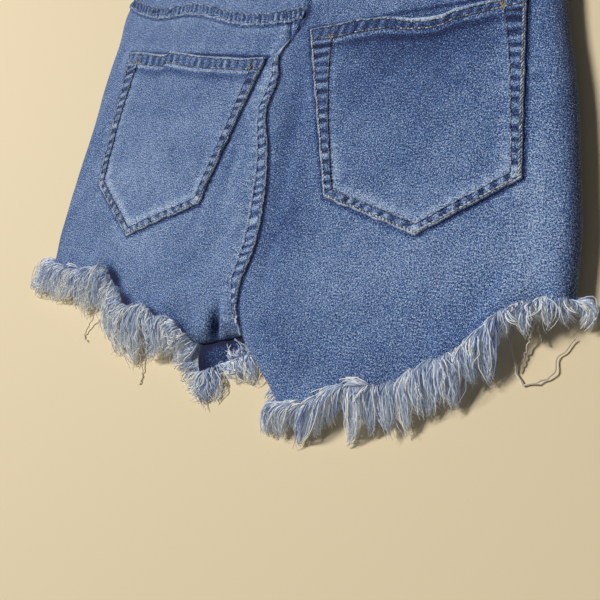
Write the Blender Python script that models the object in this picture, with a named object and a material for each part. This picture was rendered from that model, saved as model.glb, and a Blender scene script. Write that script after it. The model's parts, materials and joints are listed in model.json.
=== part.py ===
"""Cut-off denim shorts, laid face-down: the front lies on the surface and the back lies on it.

X runs across the garment, +Y to the waist and +Z up. A point of the cloth is named by (s, y):
s is the distance across it from the centre line, which keeps counting round the side fold.
"""

import math

import bpy
import numpy as np

# Walls and gaps, metres
DENIM = 0.0014  # one layer of cloth
BAND_DENIM = 0.0026  # waistband, two layers pressed
LOOP_DENIM = 0.0012
GAP = 0.0003  # between pieces at a seam
FOLD_GAP = 0.0010  # where two pieces meet on a rolled edge
LAY_GAP = 0.0006  # under what lies on a panel
COLUMNS = 16  # of a back panel and a yoke, so that their facets meet along the yoke seam

# How the cloth rolls over at its folds
SIDE_ROLL = 0.012  # radius across at the side folds
LEG_ROLL = 0.011  # radius at the crotch and the inner legs
SEAM_SHARE = 0.45  # height of the side seam as a share of the loft
CROWN = 0.10  # how much lower the back lies at its sides, as a share of the loft

# Waist
BAND_HEIGHT = 0.038
WAIST_SIDE_Y = 0.101
BACK_DIP = 0.010  # the waist seam's dip at centre back
FRONT_DIP = 0.024  # and at centre front
BAND_REST = 0.0015  # the front waistband lies on its loops
UNDERLAP = 0.034  # of the waistband ends at the button
BUTTON_RISE = 0.0036
BUTTON_REACH = 0.024

# Seams, pockets, trim
FELL_WIDTH = 0.0085
FELL_WALL = 0.0012
POCKET_WALL = 0.0012
LOOP_WIDTH = 0.011
LOOP_TAIL = 0.004  # a back loop's reach below the waistband
LOOP_INSET = 0.001  # a front loop, which the garment lies on, starts on the waistband
LOOP_STAND = 0.0012
BUTTON_RADIUS = 0.0085
FLY_LENGTH = 0.140
FLY_WIDTH = 0.042
FRINGE_GAP = 0.0012
FRINGE_SLANT = 1.2  # the steepest way the frayed ends lean with the hem
ZIP_WIDTH = 0.024
ZIP_WALL = 0.0011

# The garment's middle, so that the bounding box's bottom centre is the origin
MIDDLE_X = -0.0120
MIDDLE_Y = -0.0826


def table(columns, rows):
    """A table as one array per named column."""
    return dict(zip(columns.split(), np.array(rows, float).T))


# Side folds: how far left and right they are, and the height of the back's mid-surface, at each y
SIDES = table(
    "y left right loft",
    [
        (-0.300, 0.2280, 0.2215, 0.0220),
        (-0.192, 0.2275, 0.2215, 0.0225),
        (-0.150, 0.2230, 0.2215, 0.0240),
        (-0.110, 0.2190, 0.2175, 0.0250),
        (-0.060, 0.2140, 0.2115, 0.0250),
        (0.000, 0.2120, 0.2005, 0.0240),
        (0.036, 0.2085, 0.1965, 0.0230),
        (0.066, 0.2090, 0.1960, 0.0220),
        (0.100, 0.1990, 0.1920, 0.0210),
        (0.140, 0.1860, 0.1820, 0.0205),
    ],
)
# Centre-back seam, from the yoke to the crotch
CENTRE_BACK = table(
    "y x",
    [
        (-0.233, 0.000),
        (-0.222, -0.004),
        (-0.205, -0.007),
        (-0.192, -0.006),
        (-0.175, -0.001),
        (-0.160, 0.001),
        (-0.130, 0.001),
        (-0.091, -0.004),
        (-0.058, -0.012),
        (-0.026, -0.0080),
        (-0.018, -0.0102),
        (-0.010, -0.0106),
        (-0.004, -0.0088),
        (0.002, -0.0050),
        (0.010, -0.0015),
        (0.022, 0.000),
        (0.150, 0.000),
    ],
)
YOKE_STEP = 0.0205  # how much higher the right yoke seam is, the cloth being pushed up there
YOKE_STEP_X = (0.003, 0.009)  # where that rise starts and ends
YOKE_SEAM = table(
    "x y",
    [
        (-0.240, 0.094),
        (-0.215, 0.084),
        (-0.185, 0.065),
        (-0.158, 0.054),
        (-0.112, 0.049),
        (-0.049, 0.0265),
        (0.003, 0.0215),
        (0.050, 0.0240),
        (0.110, 0.0310),
        (0.155, 0.0370),
        (0.190, 0.0460),
        (0.240, 0.0655),
    ],
)
# Cut hems, from the inner leg to the side fold: how far out, where the back is cut, how far the
# back stands up there, and how much higher or lower the front is cut
HEM_RIGHT = table(
    "x y lift front",
    [
        (0.0425, -0.278, -0.004, 0.004),
        (0.058, -0.275, -0.003, 0.004),
        (0.068, -0.273, -0.002, 0.004),
        (0.087, -0.259, 0.000, 0.002),
        (0.104, -0.257, -0.001, 0.004),
        (0.124, -0.250, -0.002, 0.004),
        (0.141, -0.237, -0.002, 0.004),
        (0.158, -0.227, 0.000, 0.004),
        (0.169, -0.216, 0.001, 0.004),
        (0.183, -0.201, 0.003, 0.004),
        (0.204, -0.191, 0.001, 0.003),
        (0.240, -0.190, 0.000, 0.003),
    ],
)
HEM_LEFT = table(
    "x y lift front",
    [
        (0.000, -0.244, -0.006, 0.000),
        (0.040, -0.245, -0.006, -0.021),
        (0.048, -0.237, -0.004, -0.020),
        (0.076, -0.227, -0.001, -0.008),
        (0.095, -0.220, -0.002, 0.000),
        (0.116, -0.219, -0.003, 0.002),
        (0.130, -0.207, -0.004, 0.002),
        (0.143, -0.194, -0.001, 0.002),
        (0.180, -0.196, -0.002, 0.004),
        (0.204, -0.193, -0.003, 0.003),
        (0.245, -0.184, -0.003, 0.002),
    ],
)
HEM_RISE = 0.034  # how far into the panel a hem's lift reaches
CROTCH = (0.000, -0.233)
RIGHT_LEG_EDGE = (0.0425, -0.278)  # hem end of the right inseam
LEFT_LEG_EDGE = (-0.040, -0.245)  # hem end of the left inseam, turned on to the top
LEFT_LEG_FOLD = (-0.002, -0.244)  # where the left leg's front turns over
# Largest folds of the back: middle, direction of the run, half length, half width, height
FOLDS = table(
    "x y turn half_length half_width height",
    [
        (-0.031, -0.224, 80, 0.014, 0.006, -0.0060),
        (-0.046, -0.205, 35, 0.040, 0.012, 0.0022),
        (0.034, -0.235, -40, 0.034, 0.010, 0.0018),
        (-0.014, -0.110, 86, 0.110, 0.009, 0.0012),
        (0.018, -0.150, 92, 0.080, 0.008, -0.0012),
        (0.120, -0.215, 10, 0.060, 0.013, -0.0016),
        (-0.130, -0.165, 160, 0.060, 0.014, -0.0016),
        (0.100, 0.035, 15, 0.090, 0.010, -0.0012),
    ],
)
POCKET_RIGHT = table(
    "x y",
    [(0.017, 0.010), (0.176, 0.011), (0.187, -0.118), (0.126, -0.156), (0.056, -0.130)],
)
POCKET_LEFT = table(
    "x y",
    [(-0.0185, -0.010), (-0.180, 0.019), (-0.179, -0.115), (-0.131, -0.163), (-0.056, -0.135)],
)
# Frayed ends, at shares of the hem from the inner leg out: reach past the cut edge, and how far
# they lean outwards for each metre down
FRINGE_LEFT = table(
    "share reach lean",
    [(0.0, 0.020, 0.0), (0.15, 0.026, 0.0), (0.5, 0.026, 0.1), (0.8, 0.026, 0.4), (1.0, 0.030, 1.0)],
)
FRINGE_RIGHT = table(
    "share reach lean",
    [(0.0, 0.022, -0.3), (0.15, 0.028, 0.0), (0.6, 0.026, 0.0), (0.8, 0.018, 0.1), (1.0, 0.016, 0.4)],
)
BACK_LOOPS = (-0.115, 0.004, 0.115)
FRONT_LOOPS = (-0.095, 0.095)


def smooth_curve(at, known, values):
    """A curve through the rows: cubic pieces whose slopes come from the neighbouring rows."""
    at = np.asarray(at, float)
    slope = np.gradient(values, known)
    row = np.clip(np.searchsorted(known, at) - 1, 0, len(known) - 2)
    step = known[row + 1] - known[row]
    t = np.clip((at - known[row]) / step, 0, 1)
    return (
        (1 + 2 * t) * (1 - t) ** 2 * values[row]
        + t * (1 - t) ** 2 * step * slope[row]
        + t * t * (3 - 2 * t) * values[row + 1]
        + t * t * (t - 1) * step * slope[row + 1]
    )


def ease(t):
    """0 to 1 with a soft start and end."""
    t = np.clip(t, 0, 1)
    return t * t * (3 - 2 * t)


def side_x(sign, y):
    left = smooth_curve(y, SIDES["y"], SIDES["left"])
    right = smooth_curve(y, SIDES["y"], SIDES["right"])
    return np.where(np.asarray(sign) < 0, left, right)


def loft(y):
    return smooth_curve(y, SIDES["y"], SIDES["loft"])


def centre_back_x(y):
    return smooth_curve(y, CENTRE_BACK["y"], CENTRE_BACK["x"])


def yoke_y(x):
    start, end = YOKE_STEP_X
    step = YOKE_STEP * ease((np.asarray(x) - start) / (end - start))
    return smooth_curve(x, YOKE_SEAM["x"], YOKE_SEAM["y"]) + step


def waist_y(x, dip):
    """Height of the waist seam: level at the sides, dipped at the middle."""
    return WAIST_SIDE_Y - dip * (1 - ease(np.abs(x) / 0.19))


def front_waist_y(x):
    return waist_y(x, FRONT_DIP)


def hem(x, column):
    right = smooth_curve(x, HEM_RIGHT["x"], HEM_RIGHT[column])
    left = smooth_curve(-x, HEM_LEFT["x"], HEM_LEFT[column])
    return np.where(np.asarray(x) < CROTCH[0], left, right)


def segment_distance(x, y, start, end):
    run = np.array(end) - np.array(start)
    t = np.clip(((x - start[0]) * run[0] + (y - start[1]) * run[1]) / (run @ run), 0, 1)
    return np.hypot(x - start[0] - t * run[0], y - start[1] - t * run[1])


def notch_share(x, y, left_end):
    """0 at the crotch and the inner legs, rising on a quarter circle to 1 on the flat cloth."""
    right_slope = (RIGHT_LEG_EDGE[1] - CROTCH[1]) / (RIGHT_LEG_EDGE[0] - CROTCH[0])
    left_slope = (left_end[1] - CROTCH[1]) / (left_end[0] - CROTCH[0])
    reach = 0.08
    right_far = (CROTCH[0] + reach, CROTCH[1] + reach * right_slope)
    left_far = (CROTCH[0] - reach, CROTCH[1] - reach * left_slope)
    away = np.minimum(
        segment_distance(x, y, CROTCH, right_far), segment_distance(x, y, CROTCH, left_far)
    )
    slope = np.where(x > CROTCH[0], right_slope, left_slope)
    inside = y > CROTCH[1] + (x - CROTCH[0]) * slope
    t = np.clip(np.where(inside, away, 0) / LEG_ROLL, 0, 1)
    return np.sqrt(1 - (1 - t) ** 2)


def folds(x, y):
    """The sum of the soft ridges and troughs in FOLDS."""
    height = np.zeros(np.broadcast(x, y).shape)
    for fx, fy, turn, half_length, half_width, rise in zip(*FOLDS.values()):
        c, s = math.cos(math.radians(turn)), math.sin(math.radians(turn))
        run = ((x - fx) * c + (y - fy) * s) / half_length
        across = ((y - fy) * c - (x - fx) * s) / half_width
        height = height + rise * np.exp(-(run**2) - across**2)
    return height


def round_side(s, y):
    """(x, turn) of a place s across the cloth: turn goes 0 to a right angle round the side fold."""
    sign = np.where(s < 0, -1.0, 1.0)
    flat = side_x(sign, y) - SIDE_ROLL
    turn = np.clip((np.abs(s) - flat) / SIDE_ROLL, 0, math.pi / 2)
    return sign * (np.minimum(np.abs(s), flat) + SIDE_ROLL * np.sin(turn)), turn


def side_s(sign, y):
    """How far across the side seam is."""
    return side_x(sign, y) - SIDE_ROLL + SIDE_ROLL * math.pi / 2


def back_surface(s, y):
    """The back's mid-surface: lofted, folded, rolled over at the sides and at the inner legs."""
    x, turn = round_side(s, y)
    height = loft(y)
    seam = SEAM_SHARE * height
    inward = y - hem(x, "y")
    rise = hem(x, "lift") * ease(1 - inward / HEM_RISE)
    top = height * (1 - CROWN * (x / side_x(x, y)) ** 2) + folds(x, y) + rise
    z = seam + (top - seam) * np.cos(turn)
    edge = 0.0062 + 0.0046 * ease((x - CROTCH[0] + 0.010) / 0.020)
    z = edge + (z - edge) * notch_share(x, y, LEFT_LEG_EDGE)
    return np.stack([x, y, z], -1)


def front_surface(s, y):
    """The front's mid-surface: flat on the surface below, lifted over the loops and the button."""
    x, turn = round_side(s, y)
    seam = SEAM_SHARE * loft(y)
    up = BAND_REST + (BAND_DENIM - DENIM) / 2
    near_waist = ease(1 - (waist_y(x, FRONT_DIP) - y) / 0.025)
    button = np.hypot(x, y - waist_y(0.0, FRONT_DIP) - BAND_HEIGHT / 2)
    flat = DENIM / 2 + up * near_waist + BUTTON_RISE * np.exp(-((button / BUTTON_REACH) ** 2))
    z = flat + (seam - flat) * (1 - np.cos(turn))
    edge = 0.0008 + 0.0080 * ease((x - CROTCH[0] + 0.010) / 0.020)
    z = z + edge * (1 - notch_share(x, y, LEFT_LEG_FOLD))
    return np.stack([x, y, z], -1)


def raised(surface, s, y, height):
    """Points at a height above the mid-surface, on the garment's outer side."""
    step = 0.0002
    across = surface(s + step, y) - surface(s - step, y)
    along = surface(s, y + step) - surface(s, y - step)
    normal = np.cross(across, along)
    normal /= np.linalg.norm(normal, axis=-1, keepdims=True)
    if surface is front_surface:
        normal = -normal
    return surface(s, y) + normal * np.asarray(height)[..., None]


def material(name, colour, roughness, metallic=0.0):
    made = bpy.data.materials.get(name) or bpy.data.materials.new(name)
    made.use_nodes = True
    shader = made.node_tree.nodes["Principled BSDF"]
    shader.inputs["Base Color"].default_value = (*colour, 1)
    shader.inputs["Roughness"].default_value = roughness
    shader.inputs["Metallic"].default_value = metallic
    return made


def denim():
    return material("denim", (0.13, 0.22, 0.42), 0.9)


def frayed_cotton():
    return material("frayed_cotton", (0.42, 0.50, 0.62), 0.95)


def brass():
    return material("brass", (0.45, 0.33, 0.16), 0.35, 1.0)


def solid(name, points, faces, finish):
    mesh = bpy.data.meshes.new(name)
    mesh.from_pydata(points.tolist(), [], faces)
    mesh.shade_smooth()
    mesh.set_sharp_from_angle(angle=math.radians(35))
    mesh.materials.append(finish)
    piece = bpy.data.objects.new(name, mesh)
    piece.location = (-MIDDLE_X, -MIDDLE_Y, 0)
    bpy.context.scene.collection.objects.link(piece)
    return piece


def wall(name, inner, outer, finish):
    """A closed wall between two skins, each a grid of points."""
    rows, columns = inner.shape[:2]
    index = np.arange(rows * columns).reshape(rows, columns)
    under, over = index, index + rows * columns
    faces = []
    for i in range(rows - 1):
        for j in range(columns - 1):
            quad = [(i, j), (i, j + 1), (i + 1, j + 1), (i + 1, j)]
            faces.append([over[c] for c in quad])
            faces.append([under[c] for c in reversed(quad)])
    rim = (
        [(0, j) for j in range(columns)]
        + [(i, columns - 1) for i in range(1, rows)]
        + [(rows - 1, j) for j in range(columns - 2, -1, -1)]
        + [(i, 0) for i in range(rows - 2, 0, -1)]
    )
    for a, b in zip(rim, rim[1:] + rim[:1]):
        faces.append([over[b], over[a], under[a], under[b]])
    points = np.concatenate([inner.reshape(-1, 3), outer.reshape(-1, 3)])
    faces = [[int(c) for c in face] for face in faces]
    if signed_volume(points, faces) < 0:
        faces = [face[::-1] for face in faces]
    return solid(name, points, faces, finish)


def signed_volume(points, faces):
    corners = points[np.array(faces)]
    middle = corners.mean(axis=1)
    area = np.cross(corners[:, 2] - corners[:, 0], corners[:, 3] - corners[:, 1])
    return (middle * area).sum()


def cloth(name, surface, s, y, low, high, finish):
    return wall(name, raised(surface, s, y, low), raised(surface, s, y, high), finish)


def patch(inner, outer, top, bottom, u, v):
    """A grid between four edges, each given as (s, y) at the shares u or v along it."""
    u, v = u[None, :], v[:, None]
    made = []
    for k in range(2):
        sides = (1 - u) * inner[k][:, None] + u * outer[k][:, None]
        ends = (1 - v) * top[k][None, :] + v * bottom[k][None, :]
        corners = (
            (1 - u) * (1 - v) * top[k][0]
            + u * (1 - v) * top[k][-1]
            + (1 - u) * v * bottom[k][0]
            + u * v * bottom[k][-1]
        )
        made.append(sides + ends - corners)
    return made


def across_shares(columns):
    """Shares across a panel, close together where it rolls over at both edges."""
    t = np.linspace(0, 1, columns + 1)
    return t - 0.115 * np.sin(2 * math.pi * t)


def line(start, end, t):
    return start + (end - start) * np.asarray(t)


def cut_y(surface, x):
    """Where the back or the front is cut off."""
    return hem(x, "y") + (hem(x, "front") if surface is front_surface else 0)


def side_end(sign, edge_y):
    """Where an edge that runs across the cloth meets the side seam."""
    y = 0.0
    for _ in range(6):
        y = float(edge_y(sign * side_s(sign, y)))
    return y


def hem_edge(surface, sign, leg_end, columns):
    """The cut edge of a panel as (s, y), from the inner leg to the side seam."""
    side_y = side_end(sign, lambda x: cut_y(surface, x))
    start = leg_end[0] + sign * FOLD_GAP / 2
    s = line(start, sign * (side_s(sign, side_y) - FOLD_GAP / 2), across_shares(columns))
    return s, cut_y(surface, s)


def panel(name, surface, sign, top_y, leg_end, columns, seam_rows, leg_rows):
    """A back or front panel: from the yoke or waist to the hem, and from the centre to the side."""

    def centre(y):
        return centre_back_x(y) if surface is back_surface else 0 * y + CROTCH[0]

    bottom = hem_edge(surface, sign, leg_end, columns)
    t = np.linspace(0, 1, seam_rows + 1)
    seam_y = line(float(top_y(centre(0.02))) - GAP / 2, CROTCH[1], t)
    seam_s = centre(seam_y) + sign * line(GAP / 2, FOLD_GAP / 2, ease(4 * t - 3))
    leg = np.linspace(0, 1, leg_rows + 1)[1:]
    inner = (
        np.r_[seam_s, line(seam_s[-1], bottom[0][0], leg)],
        np.r_[seam_y, line(seam_y[-1], bottom[1][0], leg)],
    )
    run = np.r_[0, np.cumsum(np.hypot(np.diff(inner[0]), np.diff(inner[1])))]
    v = run / run[-1]
    outer_y = line(side_end(sign, top_y) - GAP / 2, bottom[1][-1], v)
    outer = (sign * (side_s(sign, outer_y) - FOLD_GAP / 2), outer_y)
    u = across_shares(columns)
    top_s = line(inner[0][0], outer[0][0], u)
    top = (top_s, top_y(top_s) - GAP / 2)
    s, y = patch(inner, outer, top, bottom, u, v)
    return cloth(name, surface, s, y, -DENIM / 2, DENIM / 2, denim())


def yoke(name, sign):
    u = across_shares(COLUMNS)
    low_end, high_end = side_end(sign, yoke_y), side_end(sign, lambda x: waist_y(x, BACK_DIP))
    middle = float(centre_back_x(0.02)) + sign * GAP / 2
    v = np.linspace(0, 1, 5)
    low_s = line(middle, sign * (side_s(sign, low_end) - FOLD_GAP / 2), u)
    high_s = line(middle, sign * (side_s(sign, high_end) - FOLD_GAP / 2), u)
    top = (high_s, waist_y(high_s, BACK_DIP) - GAP / 2)
    bottom = (low_s, yoke_y(low_s) + GAP / 2)
    inner = (np.full(5, middle), line(top[1][0], bottom[1][0], v))
    outer_y = line(top[1][-1], bottom[1][-1], v)
    outer = (sign * (side_s(sign, outer_y) - FOLD_GAP / 2), outer_y)
    s, y = patch(inner, outer, top, bottom, u, v)
    return cloth(name, back_surface, s, y, -DENIM / 2, DENIM / 2, denim())


def strip(name, surface, s, y, width_s, width_y, low, high, columns=3):
    """A narrow band whose one edge runs through (s, y) and the other width away."""
    t = np.linspace(0, 1, columns)[None, :]
    return cloth(name, surface, s[:, None] + width_s * t, y[:, None] + width_y * t, low, high, denim())


def felled_seams():
    """Centre-back and yoke seams: the folded double edge that lies on the panels."""
    low = DENIM / 2 + LAY_GAP
    high = low + FELL_WALL
    y = line(0.017, CROTCH[1] + 0.010, np.linspace(0, 1, 22))
    x = centre_back_x(y) - FELL_WIDTH / 2
    strip("seam_centre_back", back_surface, x, y, FELL_WIDTH, 0, low, high)
    for name, sign in (("seam_yoke_left", -1), ("seam_yoke_right", 1)):
        outer_y = yoke_y(sign * side_x(sign, 0.08)) + FELL_WIDTH
        end = sign * (side_s(sign, outer_y) - 0.003)
        s = line(0.005 + sign * 0.0056, end, across_shares(COLUMNS))
        strip(name, back_surface, s, yoke_y(s) - 0.0015, 0, FELL_WIDTH, low, high)


def patch_pocket(name, corners):
    """A five-cornered patch: straight top and sides, and a foot that comes to a point."""
    points = np.stack([corners["x"], corners["y"]], -1)
    top_in, top_out, low_out, tip, low_in = points
    across = np.linspace(0, 1, 11)
    tip_share = 0.5
    t = across[:, None]
    foot = np.where(
        t < tip_share,
        line(low_in, tip, t / tip_share),
        line(tip, low_out, (t - tip_share) / (1 - tip_share)),
    )
    head = line(top_in, top_out, t)
    down = np.linspace(0, 1, 9)[:, None, None]
    grid = head[None] * (1 - down) + foot[None] * down
    low = DENIM / 2 + LAY_GAP
    high = low + POCKET_WALL
    return cloth(name, back_surface, grid[..., 0], grid[..., 1], low, high, denim())


def turned_edge():
    """The inner end of the left leg's front, turned over at its fold on to the top of itself."""
    u, v = np.meshgrid(np.linspace(0, 1, 6), np.linspace(0, 1, 5))
    crotch = np.array([CROTCH[0] - 0.003, CROTCH[1] - 0.0035, 0.0050])
    inseam = np.array([LEFT_LEG_EDGE[0] + 0.002, LEFT_LEG_EDGE[1] - 0.001, 0.0046])
    hem_corner = np.array([-0.038, -0.264, 0.0040])
    hem_fold = np.array([LEFT_LEG_FOLD[0] - 0.003, LEFT_LEG_FOLD[1] + 0.001, 0.0042])
    u, v = u[..., None], v[..., None]
    flat = (1 - v) * ((1 - u) * crotch + u * inseam) + v * ((1 - u) * hem_fold + u * hem_corner)
    lift = np.array([0, 0, DENIM / 2])
    return wall("front_left_turned", flat - lift, flat + lift, denim())


def waistband():
    """One band from the button end, round the back, to the buttonhole end that lies outside it."""
    front_shares, back_shares = across_shares(14), across_shares(24)[1:-1]
    skins = []
    for height in (-BAND_DENIM / 2, BAND_DENIM / 2):
        rows = []
        for up in line(GAP / 2, BAND_HEIGHT, np.linspace(0, 1, 3)):
            left_end, right_end = -side_s(-1, 0.101 + up), side_s(1, 0.101 + up)
            runs = (
                (front_surface, line(-UNDERLAP, right_end, front_shares), FRONT_DIP),
                (back_surface, line(right_end, left_end, back_shares), BACK_DIP),
                (front_surface, line(left_end, 0.002, front_shares), FRONT_DIP),
            )
            row = []
            for number, (surface, s, dip) in enumerate(runs):
                inside = (BAND_DENIM + GAP) * ease((0.016 - s) / 0.012) if number == 0 else 0
                row.append(raised(surface, s, waist_y(s, dip) + up, height - inside + 0 * s))
            rows.append(np.concatenate(row))
        skins.append(np.stack(rows))
    return wall("waistband", skins[0], skins[1], denim())


def belt_loops():
    low = BAND_DENIM / 2 + GAP
    places = [(back_surface, x, BACK_DIP) for x in BACK_LOOPS]
    places += [(front_surface, x, FRONT_DIP) for x in FRONT_LOOPS]
    for number, (surface, x, dip) in enumerate(places, 1):
        t = np.linspace(0, 1, 7)
        on_back = surface is back_surface
        start = float(waist_y(x, dip)) - (LOOP_TAIL if on_back else -LOOP_INSET)
        y = line(start, float(waist_y(x, dip)) + BAND_HEIGHT, t)
        stand = LOOP_STAND * np.sin(math.pi * t) if on_back else 0 * t
        height = np.repeat((low + stand)[:, None], 3, axis=1)
        s = np.full(len(t), x - LOOP_WIDTH / 2)
        strip(f"belt_loop_{number}", surface, s, y, LOOP_WIDTH, 0, height, height + LOOP_DENIM)


def lathe(name, profile, centre, finish, sides=24):
    """A turned solid about the vertical, from (radius, height) pairs that start and end on the axis."""
    turn = np.arange(sides) * 2 * math.pi / sides
    points, rings = [], []
    for radius, height in profile:
        count = 1 if radius == 0 else sides
        rings.append(range(len(points), len(points) + count))
        for angle in turn[:count]:
            points.append((centre[0] + radius * math.cos(angle), centre[1] + radius * math.sin(angle), height))
    faces = []
    for lower, upper in zip(rings, rings[1:]):
        for k in range(sides):
            n = (k + 1) % sides
            a, b = lower[k % len(lower)], lower[n % len(lower)]
            c, d = upper[n % len(upper)], upper[k % len(upper)]
            faces.append([p for i, p in enumerate((a, b, c, d)) if p not in (a, b, c, d)[:i]])
    return solid(name, np.array(points), faces, finish)


def button():
    """A tack button under the waistband: a domed head with a rim, and its short post."""
    place = (0.0, float(waist_y(0.0, FRONT_DIP)) + BAND_HEIGHT / 2)
    top = float(front_surface(np.array(0.0), np.array(place[1]))[2]) - BAND_DENIM / 2 - 2 * GAP
    r = BUTTON_RADIUS
    profile = [
        (0, 0.0004),
        (0.55 * r, 0.0),
        (0.86 * r, 0.0002),
        (r, 0.0010),
        (r, 0.0020),
        (0.86 * r, 0.0026),
        (0.42 * r, 0.0028),
        (0.40 * r, top),
        (0, top),
    ]
    lathe("button", profile, place, brass())


def fly():
    """Behind the closed front edge: the zip on its tape, then the shield behind the zip."""
    top = float(waist_y(0.0, FRONT_DIP)) - 0.004
    y = line(top, top - FLY_LENGTH, np.linspace(0, 1, 9))
    s = np.full(len(y), -ZIP_WIDTH / 2)
    zip_front = -DENIM / 2 - 2 * LAY_GAP
    zip_back = zip_front - ZIP_WALL
    strip("zip", front_surface, s, y, ZIP_WIDTH, 0, zip_back, zip_front)
    shield = zip_back - LAY_GAP
    strip("fly_shield", front_surface, s, y, FLY_WIDTH, 0, shield - LOOP_DENIM, shield, 4)


def fringe(name, sign, rows, surface, leg_end, columns, skipped, end_z, depth):
    """The reach of the frayed edge: a strip past the hem that falls to the surface below.

    It stops short of the side seam by the skipped columns, where back and front meet."""
    s, y = (edge[:-skipped] for edge in hem_edge(surface, sign, leg_end, columns))
    edge = surface(s, y)
    share = np.linspace(0, 1, len(s))
    slope = np.clip(np.gradient(y, s), -FRINGE_SLANT, FRINGE_SLANT)
    slope = slope + sign * smooth_curve(share, rows["share"], rows["lean"])
    outward = np.stack([slope, -np.ones(len(s))], -1) / np.hypot(slope, 1)[:, None]
    reach = smooth_curve(share, rows["share"], rows["reach"])
    parts = np.linspace(0, 1, 4)
    grid = np.zeros((len(parts), len(s), 3))
    for row, part in zip(grid, parts):
        row[:, :2] = edge[:, :2] + outward * (FRINGE_GAP + reach * part)[:, None]
        row[:, 2] = np.maximum(line(edge[:, 2], end_z, ease(part)), depth / 2)
    lift = np.array([0, 0, depth / 2])
    return wall(name, grid - lift, grid + lift, frayed_cotton())


def main():
    for old in list(bpy.data.objects):
        bpy.data.objects.remove(old)
    panel("back_left", back_surface, -1, yoke_y, LEFT_LEG_EDGE, COLUMNS, 16, 4)
    panel("back_right", back_surface, 1, yoke_y, RIGHT_LEG_EDGE, COLUMNS, 16, 5)
    yoke("yoke_left", -1)
    yoke("yoke_right", 1)
    felled_seams()
    patch_pocket("pocket_left", POCKET_LEFT)
    patch_pocket("pocket_right", POCKET_RIGHT)
    panel("front_left", front_surface, -1, front_waist_y, LEFT_LEG_FOLD, 12, 12, 3)
    panel("front_right", front_surface, 1, front_waist_y, RIGHT_LEG_EDGE, 12, 12, 4)
    turned_edge()
    fly()
    waistband()
    belt_loops()
    button()
    fringe("fringe_back_left", -1, FRINGE_LEFT, back_surface, LEFT_LEG_EDGE, COLUMNS, 1, 0.0062, 0.0044)
    fringe("fringe_back_right", 1, FRINGE_RIGHT, back_surface, RIGHT_LEG_EDGE, COLUMNS, 1, 0.0062, 0.0044)
    fringe("fringe_front_left", -1, FRINGE_LEFT, front_surface, LEFT_LEG_FOLD, 12, 2, 0.0012, 0.0022)
    fringe("fringe_front_right", 1, FRINGE_RIGHT, front_surface, RIGHT_LEG_EDGE, 12, 2, 0.0012, 0.0022)


main()
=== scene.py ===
import json
import math

import bpy
import numpy as np
from mathutils import Matrix, Vector


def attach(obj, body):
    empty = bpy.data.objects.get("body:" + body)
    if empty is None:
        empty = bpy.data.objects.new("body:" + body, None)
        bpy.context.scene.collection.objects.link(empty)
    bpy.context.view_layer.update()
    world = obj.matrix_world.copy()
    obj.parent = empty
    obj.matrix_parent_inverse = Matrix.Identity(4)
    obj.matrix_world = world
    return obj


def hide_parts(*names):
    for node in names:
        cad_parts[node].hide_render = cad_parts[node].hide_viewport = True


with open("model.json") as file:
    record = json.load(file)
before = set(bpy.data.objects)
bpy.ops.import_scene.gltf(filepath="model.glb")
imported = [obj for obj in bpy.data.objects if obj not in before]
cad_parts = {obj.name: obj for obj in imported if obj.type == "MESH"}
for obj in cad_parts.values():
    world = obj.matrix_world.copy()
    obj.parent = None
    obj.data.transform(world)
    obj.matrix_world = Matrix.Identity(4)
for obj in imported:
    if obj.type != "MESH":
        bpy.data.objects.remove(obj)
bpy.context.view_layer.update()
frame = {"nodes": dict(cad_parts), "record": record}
slots = {entry["slot"] for entry in frame["record"]["materials"]}
print("frame loaded:", len(frame["nodes"]), "nodes, slots", sorted(slots))

# The garment lies face-down. A place on the cloth is (s, y): s is the distance across from the centre
# line, counting on round the side fold, and y runs up to the waist. Metres throughout.
garment = dict(
    middle=(-0.0120, -0.0826, 0.0),  # the garment's own zero, from the frame's zero
    denim=0.0014,  # one layer
    sideRoll=0.012,  # radius of the side folds
    legRoll=0.011,  # radius at the crotch and the inner legs
    seamShare=0.45,  # height of the side seam as a share of the loft
    crown=0.10,  # how much lower the back lies at its sides
    gap=0.0002,  # between panels at a seam
    hemRise=0.034,  # how far in a hem's lift reaches
    crotch=(0.000, -0.233),
    notchReach=0.08,  # how far up the legs the rolled edges are measured
    rightLegEdge=(0.0425, -0.278),  # hem end of the right inseam
    leftLegEdge=(-0.040, -0.245),  # hem end of the left inseam
    tabs=((0.139, 0.0055), (0.121, 0.0060), (0.083, 0.0035), (0.050, 0.0035)),  # place, depth
    tabWidth=0.0075,
    backEdge=(0.0062, 0.0046),  # height of the back at the inner legs, and how much more on the right
    frontEdge=(0.0008, 0.0080),  # and of the front
    leftLegFold=(-0.002, -0.244),  # where the left leg's front turns over
)
waist = dict(
    sideY=0.101,
    yokeStep=0.0205,  # how much higher the right yoke seam is
    stepStart=0.003,
    stepRun=0.006,
    backDip=0.010,  # of the seam at centre back
    frontDip=0.024,  # and at centre front
    dipReach=0.19,
    height=0.038,
    cloth=0.0026,  # two layers pressed
    rest=0.0015,  # the front band lies on its loops
    underlap=0.034,
    buttonRise=0.0036,
    buttonReach=0.024,
)


def table(columns, rows):  # one array per named column
    return dict(zip(columns.split(), np.array(rows, float).T))


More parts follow.
